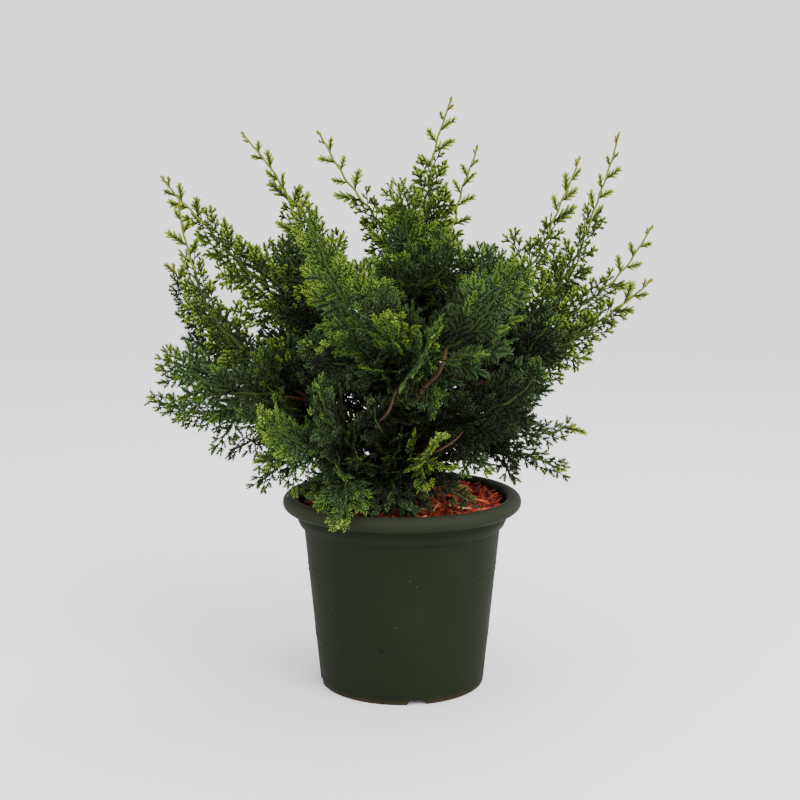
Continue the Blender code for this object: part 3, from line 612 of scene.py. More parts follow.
class Groups:
    """The shader groups that several finishes use, each built once."""

    def __init__(self) -> None:
        """Builds the groups."""
        self.mottle = self._mottle()
        self.speckle = self._speckle()
        self.fibre = self._fibre()

    @staticmethod
    def _mottle() -> bpy.types.NodeTree:
        """Soft patches with fine grain over them: outputs Value, from 0 to 1.

        Returns:
            The group.
        """
        tree = Group("mottle", {"Patch": 30.0, "Grain": 400.0}, "Value")
        place = tree.given["Vector"]
        patch = tree.noise(place, tree.given["Patch"], Detail=3.0, Roughness=0.6)
        grain = tree.noise(place, tree.given["Grain"], Detail=2.0)
        both = tree.math("MULTIPLY_ADD", grain, 0.35, tree.math("MULTIPLY", patch, 0.65))
        return tree.finished(tree.ramp(both, 0.30, 0.70))

    @staticmethod
    def _speckle() -> bpy.types.NodeTree:
        """Small scattered specks: outputs Mask, 1 on a speck.

        Returns:
            The group.
        """
        tree = Group("speckle", {"Scale": 90.0, "Size": 0.10, "Share": 0.20}, "Mask")
        cells = tree.add("ShaderNodeTexVoronoi", {"Vector": tree.given["Vector"],
                                                  "Scale": tree.given["Scale"]}).outputs
        chance = tree.add("ShaderNodeSeparateColor", {0: cells["Color"]}).outputs[0]
        near = tree.math("LESS_THAN", cells["Distance"], tree.given["Size"])
        chosen = tree.math("LESS_THAN", chance, tree.given["Share"])
        return tree.finished(tree.math("MULTIPLY", near, chosen))

    @staticmethod
    def _fibre() -> bpy.types.NodeTree:
        """Fibres along the vector's Z: outputs Value, from 0 to 1.

        Returns:
            The group.
        """
        tree = Group("fibre", {"Scale": 500.0, "Stretch": 0.06}, "Value")
        scale = tree.add("ShaderNodeCombineXYZ", {"X": 1.0, "Y": 1.0, "Z": tree.given["Stretch"]})
        long = tree.add("ShaderNodeVectorMath", {0: tree.given["Vector"], 1: scale.outputs[0]},
                        operation="MULTIPLY")
        grain = tree.noise(long.outputs[0], tree.given["Scale"], Detail=4.0, Roughness=0.65)
        return tree.finished(tree.ramp(grain, 0.32, 0.68))


class Surface(Tree):
    """One material under construction: its tree with its Principled shader."""

    def __init__(self, name: str, roughness: float) -> None:
        """Starts the material.

        Args:
            name: the material's name.
            roughness: the shader's roughness where nothing is linked to it.
        """
        self.material = bpy.data.materials.new(name)
        self.material.use_nodes = True
        super().__init__(self.material.node_tree)
        self.shader = self.tree.nodes["Principled BSDF"].inputs
        self.shader["Roughness"].default_value = roughness

    def group(self, group: bpy.types.NodeTree, vector: Socket, **values: float) -> Socket:
        """The output of a shared group, whose pattern follows a vector."""
        inputs = {"Vector": vector, **values}
        return self.add("ShaderNodeGroup", inputs, node_tree=group).outputs[0]

    def color(self, source: Socket) -> None:
        """Links the base colour."""
        self.feed(self.shader["Base Color"], source)

    def rough(self, source: Socket, low: float, high: float) -> None:
        """Lets the roughness run from low to high with a value."""
        node = self.add("ShaderNodeMapRange", {"Value": source, "To Min": low, "To Max": high})
        self.feed(self.shader["Roughness"], node.outputs["Result"])

    def bump(self, height: Socket, distance: float, strength: float) -> None:
        """Gives the surface a relief from a height."""
        node = self.add("ShaderNodeBump",
                        {"Height": height, "Distance": distance, "Strength": strength})
        self.feed(self.shader["Normal"], node.outputs["Normal"])


def linear(red: int, green: int, blue: int) -> Color:
    """A shader colour from the eight-bit values seen on a screen."""
    shares = [value / 255.0 for value in (red, green, blue)]
    return tuple(share / 12.92 if share <= 0.04 else ((share + 0.055) / 1.055) ** 2.4
                 for share in shares)


def scaled(color: Color, factor: float) -> Color:
    """A colour made lighter or darker."""
    return tuple(min(1.0, value * factor) for value in color)


@dataclass(frozen=True)
class PlasticFinish:
    """Dark green moulded plastic, dusty and a little scuffed; its lighter rim is partly dust and
    partly a painted highlight.
    """

    base: Color = linear(25, 30, 20)
    worn: Color = linear(30, 35, 25)
    # the rim's lighter colour: dust and a painted highlight
    rim_dust_and_highlight: Color = linear(41, 45, 33)
    rim_dust_and_highlight_from: float = 0.170  # the rim is lighter above this height: dust and a painted highlight
    rim_dust_and_highlight_over: float = 0.014  # and it turns lighter over this much
    dust: Color = linear(108, 110, 98)
    soil: Color = linear(70, 50, 38)
    soil_top: float = 0.006  # soil clings to the foot below this height
    scuff: Color = linear(13, 15, 12)
    scuff_at: Triple = (-0.0195, -0.0815, 0.0540)
    scuff_radii: Pair = (0.0042, 0.00168)  # where it ends, and is full
    roughness: Pair = (0.52, 0.72)
    specular: float = 0.04

    def build(self, groups: Groups) -> Material:
        """Builds the material.

        Args:
            groups: the shared groups.

        Returns:
            The material.
        """
        surface = Surface("pot_plastic_moulded", self.roughness[0])
        place = surface.coordinates()
        height = surface.add("ShaderNodeSeparateXYZ", {0: place}).outputs["Z"]
        away = surface.add("ShaderNodeVectorMath", {0: place, 1: self.scuff_at},
                           operation="DISTANCE").outputs["Value"]
        patch = surface.group(groups.mottle, place, Patch=18.0, Grain=900.0)
        scuffs = surface.group(groups.mottle, place, Patch=260.0, Grain=900.0)
        stains = surface.group(groups.mottle, place, Patch=120.0, Grain=1500.0)
        # the rim turns lighter towards its top: dust and a painted highlight
        rim_dust_and_highlight_to = self.rim_dust_and_highlight_from + self.rim_dust_and_highlight_over
        specks = surface.group(groups.speckle, place, Scale=150.0, Size=0.050, Share=0.14)
        scuffed = surface.math("MULTIPLY", surface.ramp(away, *self.scuff_radii), scuffs)
        stained = surface.math("MULTIPLY", surface.ramp(height, self.soil_top, 0.0), stains)
        color = self.base
        for mask, layer in ((surface.ramp(patch, 0.2, 1.0), self.worn),
                            (surface.ramp(height, self.rim_dust_and_highlight_from, rim_dust_and_highlight_to), self.rim_dust_and_highlight),
                            (specks, self.dust), (scuffed, self.scuff), (stained, self.soil)):
            color = surface.mix(mask, color, layer)
        surface.color(color)
        surface.rough(patch, *self.roughness)
        surface.shader["Specular IOR Level"].default_value = self.specular
        surface.bump(surface.group(groups.mottle, place, Patch=160.0, Grain=2200.0), 0.0002, 0.35)
        return surface.material


@dataclass(frozen=True)
class BarkFinish:
    """Thin fibrous bark; the pattern follows the attribute grain, which runs with the limb."""

    name: str
    dark: Color
    light: Color
    roughness: Pair = (0.9, 0.65)

    def build(self, groups: Groups) -> Material:
        """Builds the material.

        Args:
            groups: the shared groups.

        Returns:
            The material.
        """
        surface = Surface(self.name, self.roughness[0])
        grain = surface.attribute(Limbs.GRAIN, "Vector")
        fibre = surface.group(groups.fibre, grain, Scale=420.0, Stretch=0.12)
        patch = surface.group(groups.mottle, grain, Patch=60.0, Grain=500.0)
        middle = tuple((one + two) / 2 for one, two in zip(self.dark, self.light))
        color = surface.mix(fibre, self.dark, self.light)
        surface.color(surface.mix(surface.ramp(patch, 0.3, 1.4), color, middle))
        surface.rough(fibre, *self.roughness)
        surface.bump(fibre, 0.0006, 0.8)
        return surface.material


@dataclass(frozen=True)
class ChipFinish:
    """Fibrous wood or bark of one tone, for chips and for the compost."""

    name: str
    color: Color
    scale: float = 700.0  # of the grain
    coarser: float = 5.0  # how much larger the patches are than the grain
    tones: Pair = (0.55, 1.35)
    roughness: float = 0.85

    def build(self, groups: Groups) -> Material:
        """Builds the material.

        Args:
            groups: the shared groups.

        Returns:
            The material.
        """
        surface = Surface(self.name, self.roughness)
        grain = surface.group(groups.mottle, surface.coordinates(),
                              Patch=self.scale / self.coarser, Grain=self.scale)
        surface.color(surface.mix(grain, *(scaled(self.color, tone) for tone in self.tones)))
        surface.bump(grain, 0.0005, 0.6)
        return surface.material


@dataclass(frozen=True)
class LeafFinish:
    """Scale leaves of one green: waxy, with a fine mottled grain in colour and roughness."""

    name: str
    color: Color
    roughness: float = 0.55
    sheen: float = 0.08  # how far the roughness varies about that
    specular: float = 0.05
    foot: float = 0.15  # painted shade at a lobe's foot: how dark the foot is, as a share of the colour
    tones: Pair = (1.32, 1.95)  # of the rest
    rise: Pair = (0.06, 0.82)  # where a lobe turns from the painted shade at its foot to its own tone

    def build(self, groups: Groups) -> Material:
        """Builds the material.

        Args:
            groups: the shared groups.

        Returns:
            The material.
        """
        surface = Surface(self.name, self.roughness)
        grain = surface.group(groups.mottle, surface.coordinates(), Patch=140.0, Grain=900.0)
        light = surface.mix(grain, *(scaled(self.color, tone) for tone in self.tones))
        # the lobes darken towards their feet: painted shade between them
        out = surface.ramp(surface.attribute(TIP, "Fac"), *self.rise)
        surface.color(surface.mix(out, scaled(self.color, self.foot), light))
        surface.rough(grain, self.roughness + self.sheen, self.roughness - self.sheen)
        surface.shader["Specular IOR Level"].default_value = self.specular
        return surface.material


class Tone(Enum):
    """Colours in an order, each the base colour of one material."""

    @property
    def index(self) -> int:
        """The colour's place among a piece's materials."""
        return list(type(self)).index(self)


class Green(Tone):
    """The greens of the foliage, from the dark inside, partly painted shade, to the young tips, and
    the sunned ones.
    """

    # the darkest green, partly painted shade on the crown's inside
    SHADE = linear(34, 40, 27)
    DEEP = linear(49, 62, 34)
    BLUE = linear(57, 79, 47)
    MIDDLE = linear(76, 101, 40)
    FRESH = linear(103, 125, 45)
    BRIGHT = linear(119, 144, 54)
    TIP = linear(134, 130, 48)
    OLIVE = linear(60, 75, 29)
    MOSS = linear(80, 99, 35)
    LEADER = linear(108, 122, 44)

    @property
    def finish(self) -> LeafFinish:
        """The green's finish."""
        return LeafFinish("scale_leaves_" + self.name.lower(), self.value)

    @property
    def sunned(self) -> "Green":
        """The yellower green that stands for this one on the plumes with a leader."""
        return {Green.BLUE: Green.OLIVE, Green.MIDDLE: Green.MOSS}.get(self, self)


class Chip(Tone):
    """The tones of the bark chips."""

    DARK = linear(66, 18, 10)
    RED = linear(132, 36, 19)
    RUST = linear(168, 54, 26)
    ORANGE = linear(200, 90, 46)
    PALE = linear(226, 172, 116)

    @property
    def finish(self) -> ChipFinish:
        """The tone's finish."""
        return ChipFinish("bark_chip_" + self.name.lower(), self.value)


# --- Meshes ---

@dataclass
class Template:
    """A small shape that is repeated many times."""

    verts: np.ndarray  # one row a vertex
    tris: np.ndarray  # one row a triangle
    tips: np.ndarray  # one value a vertex: 0 at a lobe's foot, 1 at its tip

    @classmethod
    def of(cls, bm: BMesh) -> "Template":
        """Reads a bmesh as triangles, and frees it.

        Args:
            bm: the bmesh.

        Returns:
            The template.
        """
        bmesh.ops.triangulate(bm, faces=bm.faces)
        bm.verts.index_update()
        layer = bm.verts.layers.float.get(TIP)
        tips = np.array([vert[layer] if layer else 1.0 for vert in bm.verts])
        verts = np.array([vert.co[:] for vert in bm.verts], dtype=np.float64)
        tris = np.array([[vert.index for vert in face.verts] for face in bm.faces], dtype=np.int64)
        bm.free()
        return cls(verts, tris, tips)


@dataclass
class Gathered:
    """Triangles gathered for one joined mesh, each with its material's place."""

    verts: list[np.ndarray] = field(default_factory=list)
    tris: list[np.ndarray] = field(default_factory=list)
    slots: list[np.ndarray] = field(default_factory=list)
    tips: list[np.ndarray] = field(default_factory=list)
    count: int = 0

    def add(self, verts: np.ndarray, tris: np.ndarray, slots: np.ndarray, tips: np.ndarray) -> None:
        """Adds a batch.

        Args:
            verts: one row a vertex.
            tris: one row a triangle, counted from the batch's first vertex.
            slots: one material's place a triangle.
            tips: one value a vertex.
        """
        self.verts.append(verts)
        self.tips.append(tips)
        self.tris.append(tris + self.count)
        self.slots.append(slots)
        self.count += len(verts)

    def add_copies(self, shape: Template, frames: np.ndarray, origins: np.ndarray,
                   slots: np.ndarray) -> None:
        """Adds a template once for each frame.

        Args:
            shape: the template.
            frames: one 3 x 3 matrix a copy, whose columns are its scaled axes.
            origins: one row a copy.
            slots: one material's place a copy.
        """
        verts = np.einsum("nij,vj->nvi", frames, shape.verts) + origins[:, None, :]
        steps = np.arange(len(origins)) * len(shape.verts)
        tris = shape.tris[None, :, :] + steps[:, None, None]
        self.add(verts.reshape(-1, 3), tris.reshape(-1, 3), np.repeat(slots, len(shape.tris)),
                 np.tile(shape.tips, len(origins)))

    def to_object(self, name: str, materials: Sequence[Material], smooth: bool) -> Object:
        """Makes the joined mesh's object.

        Args:
            name: the object's name.
            materials: its materials, in the order of the slots.
            smooth: whether its faces are shaded smooth.

        Returns:
            The object, linked to the scene.
        """
        verts = np.concatenate(self.verts)
        tris = np.concatenate(self.tris)
        mesh = bpy.data.meshes.new(name)
        mesh.vertices.add(len(verts))
        mesh.vertices.foreach_set("co", verts.astype(np.float32).ravel())
        mesh.loops.add(3 * len(tris))
        mesh.loops.foreach_set("vertex_index", tris.astype(np.int32).ravel())
        mesh.polygons.add(len(tris))
        mesh.polygons.foreach_set("loop_start", np.arange(0, 3 * len(tris), 3, dtype=np.int32))
        for material in materials:
            mesh.materials.append(material)
        mesh.polygons.foreach_set("material_index", np.concatenate(self.slots).astype(np.int32))
        mesh.polygons.foreach_set("use_smooth", np.full(len(tris), smooth))
        tip = mesh.attributes.new(TIP, "FLOAT", "POINT")
        tip.data.foreach_set("value", np.concatenate(self.tips).astype(np.float32))
        mesh.update()
        return linked(bpy.data.objects.new(name, mesh))


def linked(obj: Object) -> Object:
    """Links an object to the scene."""
    bpy.context.scene.collection.objects.link(obj)
    return obj


def from_bmesh(bm: BMesh, name: str, materials: Sequence[Material],
               sharp_degrees: float = 40.0) -> Object:
    """Turns a bmesh into a smooth-shaded object and frees it.

    Args:
        bm: the bmesh.
        name: the object's name.
        materials: the object's materials.
        sharp_degrees: edges sharper than this stay sharp.

    Returns:
        The object, linked to the scene.
    """
    mesh = bpy.data.meshes.new(name)
    bm.to_mesh(mesh)
    bm.free()
    for material in materials:
        mesh.materials.append(material)
    mesh.shade_smooth()
    mesh.set_sharp_from_angle(angle=math.radians(sharp_degrees))
    return linked(bpy.data.objects.new(name, mesh))


def dressed(piece: Object, slot: str, *nodes: str) -> Object:
    """Says what a piece rides on, and hides the nodes that it stands for.

    Args:
        piece: the piece.
        slot: not used.
        nodes: the nodes that it replaces.

    Returns:
        The piece.
    """
    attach(piece, BODY)
    if nodes:
        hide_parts(*nodes)
    LOG.info("%s: %d faces", piece.name, len(piece.data.polygons))
    return piece


def unit_tube(sides: int, stations: int) -> BMesh:
    """A closed tube of radius 1 from z = 0 to z = 1.

    Args:
        sides: faces round it.
        stations: rings along it, both ends among them.

    Returns:
        A new bmesh.
    """
    bm = bmesh.new()
    ring = bmesh.ops.create_circle(bm, cap_ends=True, segments=sides, radius=1.0)["verts"]
    face = ring[0].link_faces[0]
    face.normal_flip()
    for index in range(1, stations):
        grown = bmesh.ops.extrude_face_region(bm, geom=[face])
        if index > 1:
            bmesh.ops.delete(bm, geom=[face], context="FACES_ONLY")
        face = next(item for item in grown["geom"] if isinstance(item, bmesh.types.BMFace))
        bmesh.ops.translate(bm, vec=UP / (stations - 1), verts=face.verts)
    bmesh.ops.recalc_face_normals(bm, faces=bm.faces)
    return bm


def bent_tubes(shape: Template, stations: int, points: np.ndarray, radii: np.ndarray,
               sides: np.ndarray) -> np.ndarray:
    """The vertices of a unit tube, bent along one centre line.

    Args:
        shape: the unit tube.
        stations: rings along it.
        points: the centre line, one row a ring.
        radii: one radius a ring.
        sides: one row a ring, square to the line: where the tube's first side looks.

    Returns:
        One row a vertex.
    """
    along = np.gradient(points, axis=0)
    along /= np.linalg.norm(along, axis=1)[:, None]
    second = np.cross(along, sides)
    ring = np.rint(shape.verts[:, 2] * (stations - 1)).astype(int)
    return (points[ring] + radii[ring, None] * (shape.verts[:, :1] * sides[ring]
                                                 + shape.verts[:, 1:2] * second[ring]))


# --- The pot, the compost and the mulch ---

@dataclass
class Pot:
    """The pot: a tapered wall with moulded lines, a stepped collar and a rolled rim."""

    base_radius: float = 0.0796
    wall_top_radius: float = 0.0948
    wall_top: float = 0.1545
    wall: float = 0.0018
    collar_radius: float = 0.1015
    collar_low: float = 0.1630
    collar_high: float = 0.1715
    rim_radius: float = 0.1150
    rim_tube: float = 0.0074
    rim_level: float = 0.1785
    floor_under: float = 0.0065
    floor_top: float = 0.0090
    foot_width: float = 0.0060
    pad_radius: float = 0.0160
    notch_heading: float = 280.0
    notch_count: int = 4
    notch_wide: float = 0.0215
    notch_narrow: float = 0.0150
    notch_height: float = 0.0058
    drain_radius: float = 0.0050
    drain_circle: float = 0.0520
    bead: float = 0.00035  # how far a moulded line stands out
    bead_half: float = 0.0009
    bead_levels: tuple[float, ...] = (0.0470, 0.0530, 0.1120, 0.1180)
    corner: float = 0.0012  # how far a corner is rounded
    corner_share: float = 0.45  # and how much of a short side at most
    corner_points: tuple[float, ...] = (0.0, 0.33, 0.67, 1.0)
    foot_bevel: Pair = (0.0008, 0.0012)
    step_at: Pair = (0.0985, 0.1565)  # under the collar
    inner_step: Pair = (0.0010, 0.1580)  # behind it, in from the collar's wall
    inner_top: float = 0.1530  # of the tapered wall's inside
    rim_turn: tuple[int, int, int] = (255, 540, 12)  # first and last degree, and the step
    drain_segments: int = 24
    steps: int = 176
    sharp_degrees: Pair = (30.0, 35.0)  # before and after the cuts

    def wall_radius(self, height: float) -> float:
        """Outer radius of the tapered wall."""
        return self.base_radius + (self.wall_top_radius - self.base_radius) * height / self.wall_top

    def _rim(self) -> list[Pair]:
        """Points of the rolled rim's section."""
        middle = self.rim_radius - self.rim_tube
        return [(middle + self.rim_tube * math.cos(math.radians(degrees)),
                 self.rim_level + self.rim_tube * math.sin(math.radians(degrees)))
                for degrees in range(*self.rim_turn)]

    def _rounded(self, corners: Sequence[Pair]) -> list[Pair]:
        """A polyline with each inner corner eased by a short curve.

        Args:
            corners: the polyline.

        Returns:
            The eased polyline.
        """
        eased = [corners[0]]
        for before, corner, after in zip(corners, corners[1:], corners[2:]):
            here = Vector(corner)
            ends = []
            for other in (Vector(before), Vector(after)):
                reach = min(self.corner, (other - here).length * self.corner_share)
                ends.append(here + (other - here).normalized() * reach)
            for share in self.corner_points:
                point = (ends[0] * (1 - share) ** 2 + here * 2 * share * (1 - share)
                         + ends[1] * share ** 2)
                eased.append((point.x, point.y))
        return eased + [corners[-1]]

    def profile(self) -> list[Pair]:
        """The half section, from the middle of the underside round to the middle of the floor.

        Returns:
            Each point's radius and height.
        """
        foot = self.base_radius - self.foot_width
        under = [(0.0, 0.0), (self.pad_radius, 0.0), (self.pad_radius, self.floor_under),
                 (foot, self.floor_under), (foot, 0.0)]
        wall = [(self.base_radius - self.foot_bevel[0], 0.0),
                (self.base_radius, self.foot_bevel[1])]
        for level in self.bead_levels:
            for height, out in ((-self.bead_half, 0.0), (-self.bead_half / 2, self.bead),
                                (self.bead_half / 2, self.bead), (self.bead_half, 0.0)):
                wall.append((self.wall_radius(level + height) + out, level + height))
        collar = [(self.wall_top_radius, self.wall_top), self.step_at,
                  (self.collar_radius, self.collar_low), (self.collar_radius, self.collar_high)]
        inner = self.collar_radius - self.wall
        inside = [(inner, self.collar_high), (inner - self.inner_step[0], self.inner_step[1]),
                  (self.wall_radius(self.inner_top) - self.wall, self.inner_top),
                  (self.wall_radius(self.floor_top) - self.wall, self.floor_top)]
        outer = self._rounded(under + wall + collar)
        return outer + self._rim() + inside + [(0.0, self.floor_top)]

    def _notch(self, heading: float) -> BMesh:
        """A wedge that cuts one notch in the foot, wider at the ground.

        Args:
            heading: in degrees.

        Returns:
            The wedge.
        """
        bm = bmesh.new()
        bmesh.ops.create_cube(bm, size=1.0)
        for vert in bm.verts:
            low = vert.co.z < 0
            vert.co.x = self.base_radius + vert.co.x * 4 * self.foot_width
            vert.co.y *= self.notch_wide if low else self.notch_narrow
            vert.co.z = -self.notch_height if low else self.notch_height
        turn = Matrix.Rotation(math.radians(heading), 4, "Z")
        bmesh.ops.transform(bm, matrix=turn, verts=bm.verts)
        return bm

    def _drain(self, heading: float) -> BMesh:
        """A cylinder that cuts one drain hole through the floor.

        Args:
            heading: in degrees.

        Returns:
            The cylinder.
        """
        bm = bmesh.new()
        bmesh.ops.create_cone(bm, cap_ends=True, segments=self.drain_segments,
                              radius1=self.drain_radius, radius2=self.drain_radius,
                              depth=4 * self.drain_radius)
        at = polar(heading, self.drain_circle, self.floor_under)
        bmesh.ops.translate(bm, vec=at, verts=bm.verts)
        return bm

    def _cut(self, shell: Object, material: Material) -> None:
        """Cuts the notches and the drain holes out of the shell.

        Args:
            shell: the pot's shell.
            material: the moulded plastic.
        """
        cutters = bpy.data.collections.new("pot_cutters")
        for index in range(self.notch_count):
            heading = self.notch_heading + index * 360.0 / self.notch_count
            for tool in (self._notch(heading), self._drain(heading + 180.0 / self.notch_count)):
                cutter = from_bmesh(tool, "pot_cutter", [material])
                bpy.context.scene.collection.objects.unlink(cutter)
                cutters.objects.link(cutter)
        bpy.context.scene.collection.children.link(cutters)
        modifier = shell.modifiers.new("cuts", "BOOLEAN")
        modifier.operation = "DIFFERENCE"
        modifier.solver = "EXACT"
        modifier.operand_type = "COLLECTION"
        modifier.collection = cutters
        graph = bpy.context.evaluated_depsgraph_get()
        cut = bpy.data.meshes.new_from_object(shell.evaluated_get(graph))
        shell.modifiers.clear()
        shell.data = cut
        for cutter in list(cutters.objects):
            bpy.data.objects.remove(cutter)
        bpy.data.collections.remove(cutters)

    def build(self, material: Material) -> Object:
        """Turns the section, cuts the notches and holes, and dresses the shell.

        Args:
            material: the moulded plastic.

        Returns:
            The piece.
        """
        bm = bmesh.new()
        verts = [bm.verts.new((radius, 0.0, height)) for radius, height in self.profile()]
        edges = [bm.edges.new(pair) for pair in zip(verts, verts[1:])]
        bmesh.ops.spin(bm, geom=verts + edges, cent=(0, 0, 0), axis=(0, 0, 1), steps=self.steps,
                       angle=2 * math.pi, use_merge=True)
        bmesh.ops.remove_doubles(bm, verts=bm.verts, dist=1e-6)
        bmesh.ops.recalc_face_normals(bm, faces=bm.faces)
        before, after = self.sharp_degrees
        shell = from_bmesh(bm, "pot_shell", [material], before)
        self._cut(shell, material)
        shell.data.shade_smooth()
        shell.data.set_sharp_from_angle(angle=math.radians(after))
        return dressed(shell, "pot_plastic", "pot")


@dataclass
class Mulch:
    """Bark chips strewn over the compost, over the mulch's own solid."""

    SHAPES = ((0.10, 0.06, 0.02), (0.07, 0.05, 0.05), (0.16, 0.06, 0.03), (0.035, 0.03, 0.10),
              (0.24, 0.10, 0.02), (0.12, 0.08, -0.04), (0.045, 0.035, -0.06))
    TONES = [Chip.DARK] * 4 + [Chip.RED] * 7 + [Chip.RUST] * 6 + [Chip.ORANGE] * 3 + [Chip.PALE]
    reach: float = 0.0975  # no chip reaches further from the axis
    spill: float = 0.0020  # but for a chip's end, by this much
    top: float = BARK_TOP
    heap: float = 0.0050  # how far the heaps rise
    heap_level: Pair = (0.45, 0.55)  # its steady and its uneven share
    heap_pitch: float = 45.0  # heaps, in radians a metre
    heap_layer: float = 3.0  # of the noise that they follow
    slope: float = 0.0050  # how much higher they lie at the wall
    lean: float = 0.0040  # how much higher they lie on the right
    lean_back: float = 0.4  # and how far that side is turned to the back
    count: int = 3000
    lengths: Pair = (0.008, 0.030)
    shrink: Pair = (0.6, 1.0)
    inset: float = 0.35  # share of a chip's length that keeps its middle off the wall
    steep: Pair = (60.0, 22.0)  # of a few chips, and of the others
    steep_share: float = 0.06
    roll: float = 1.2
    lift: float = 0.35  # share of a chip's rise by which it lies higher
    scatter: float = 0.0015
    end_width: float = 0.35  # of a chip, as a share of its middle's
    uneven: Pair = (0.7, 1.2)
    ragged: float = 0.10
    seed: int = 21
    nugget_at: Triple = (236.0, 0.036, 0.1790)
    nugget_radius: float = 0.0062
    nugget_flat: float = 0.85
    nugget_plates: Pair = (520.0, 0.10)  # pitch and relief
    nugget_swell: Pair = (260.0, 0.16)
    nugget_sharp: float = 25.0

    def _chip(self, dice: random.Random, wide: float, thick: float, bow: float) -> Template:
        """One chip of unit length along X: a split sliver, bent and pulled to rough ends.

        Args:
            dice: seeded chance.
            wide: its width.
            thick: its thickness.
            bow: how far its middle rises.

        Returns:
            The template.
        """
        bm = bmesh.new()
        bmesh.ops.create_cube(bm, size=1.0)
        long_edges = [edge for edge in bm.edges
                      if abs(edge.verts[0].co.x - edge.verts[1].co.x) > 0.5]
        bmesh.ops.subdivide_edges(bm, edges=long_edges, cuts=2, use_grid_fill=True)
        for vert in bm.verts:
            is_end = abs(vert.co.x) > 0.4
            vert.co.y *= wide * (self.end_width if is_end else 1.0) * dice.uniform(*self.uneven)
            vert.co.z *= thick * dice.uniform(*self.uneven)
            vert.co.x += dice.uniform(-self.ragged, self.ragged) if is_end else 0.0
            vert.co.z += bow * (1.0 - 4.0 * vert.co.x ** 2)
            vert.co.y += 0.5 * bow * math.sin(3.0 * vert.co.x)
        return Template.of(bm)

    def _height(self, x: float, y: float) -> float:
        """The heaps' height over the mulch's top at a place.

        Args:
            x: to the right.
            y: to the back.

        Returns:
            The height.
        """
        swell = noise.noise(Vector((x * self.heap_pitch, y * self.heap_pitch, self.heap_layer)))
        rise = (math.hypot(x, y) / self.reach) ** 3
        lean = max(0.0, (x + self.lean_back * y) / self.reach)
        steady, uneven = self.heap_level
        return self.heap * (steady + uneven * swell) + self.slope * rise + self.lean * lean

    def strew(self, materials: Sequence[Material]) -> Object:
        """Strews the chips.

        Args:
            materials: one for each tone of chip.

        Returns:
            The piece.
        """
        dice = random.Random(self.seed)
        shapes = [self._chip(dice, *sizes) for sizes in self.SHAPES]
        places: dict[int, list[tuple[np.ndarray, Vector, int]]] = {}
        for _ in range(self.count):
            length = dice.uniform(*self.lengths) * dice.uniform(*self.shrink)
            reach = math.sqrt(dice.random()) * (self.reach - self.inset * length)
            at = polar(dice.uniform(0.0, 360.0), reach, 0.0)
            steep = self.steep[0 if dice.random() < self.steep_share else 1]
            turn = (Matrix.Rotation(dice.uniform(0.0, 2 * math.pi), 3, "Z")
                    @ Matrix.Rotation(math.radians(dice.uniform(-steep, steep)), 3, "Y")
                    @ Matrix.Rotation(dice.uniform(-self.roll, self.roll), 3, "X"))
            ends = [at + turn @ Vector((side * length / 2, 0, 0)) for side in (1, -1)]
            if max(end.xy.length for end in ends) > self.reach + self.spill:
                continue
            lift = abs(ends[0].z - ends[1].z) * self.lift
            scatter = dice.uniform(-self.scatter, self.scatter)
            at.z = self.top + self._height(at.x, at.y) + lift + scatter
            places.setdefault(dice.randrange(len(shapes)), []).append(
                (np.array(turn) * length, at, dice.choice(self.TONES).index))
        chips = Gathered()
        for index, found in places.items():
            turns, spots, tones = zip(*found)
            chips.add_copies(shapes[index], np.array(turns), np.array([spot[:] for spot in spots]),
                             np.array(tones))
        return dressed(chips.to_object("bark_chips", materials, False), "bark_mulch")

    def nugget(self, material: Material) -> Object:
        """A knob of bark with broken plates that lies on the chips.

        Args:
            material: its bark.

        Returns:
            The piece.
        """
        plate_pitch, plate_relief = self.nugget_plates
        swell_pitch, swell_relief = self.nugget_swell
        bm = bmesh.new()
        bmesh.ops.create_icosphere(bm, subdivisions=3, radius=self.nugget_radius)
        for vert in bm.verts:
            cell = noise.cell(vert.co * plate_pitch)
            swell = noise.noise(vert.co * swell_pitch)
            vert.co *= 1.0 + plate_relief * cell + swell_relief * swell
            vert.co.z *= self.nugget_flat
        bmesh.ops.translate(bm, vec=polar(*self.nugget_at), verts=bm.verts)
        return dressed(from_bmesh(bm, "bark_nugget", [material], self.nugget_sharp), "bark_mulch")


# --- The trunk and the boughs ---

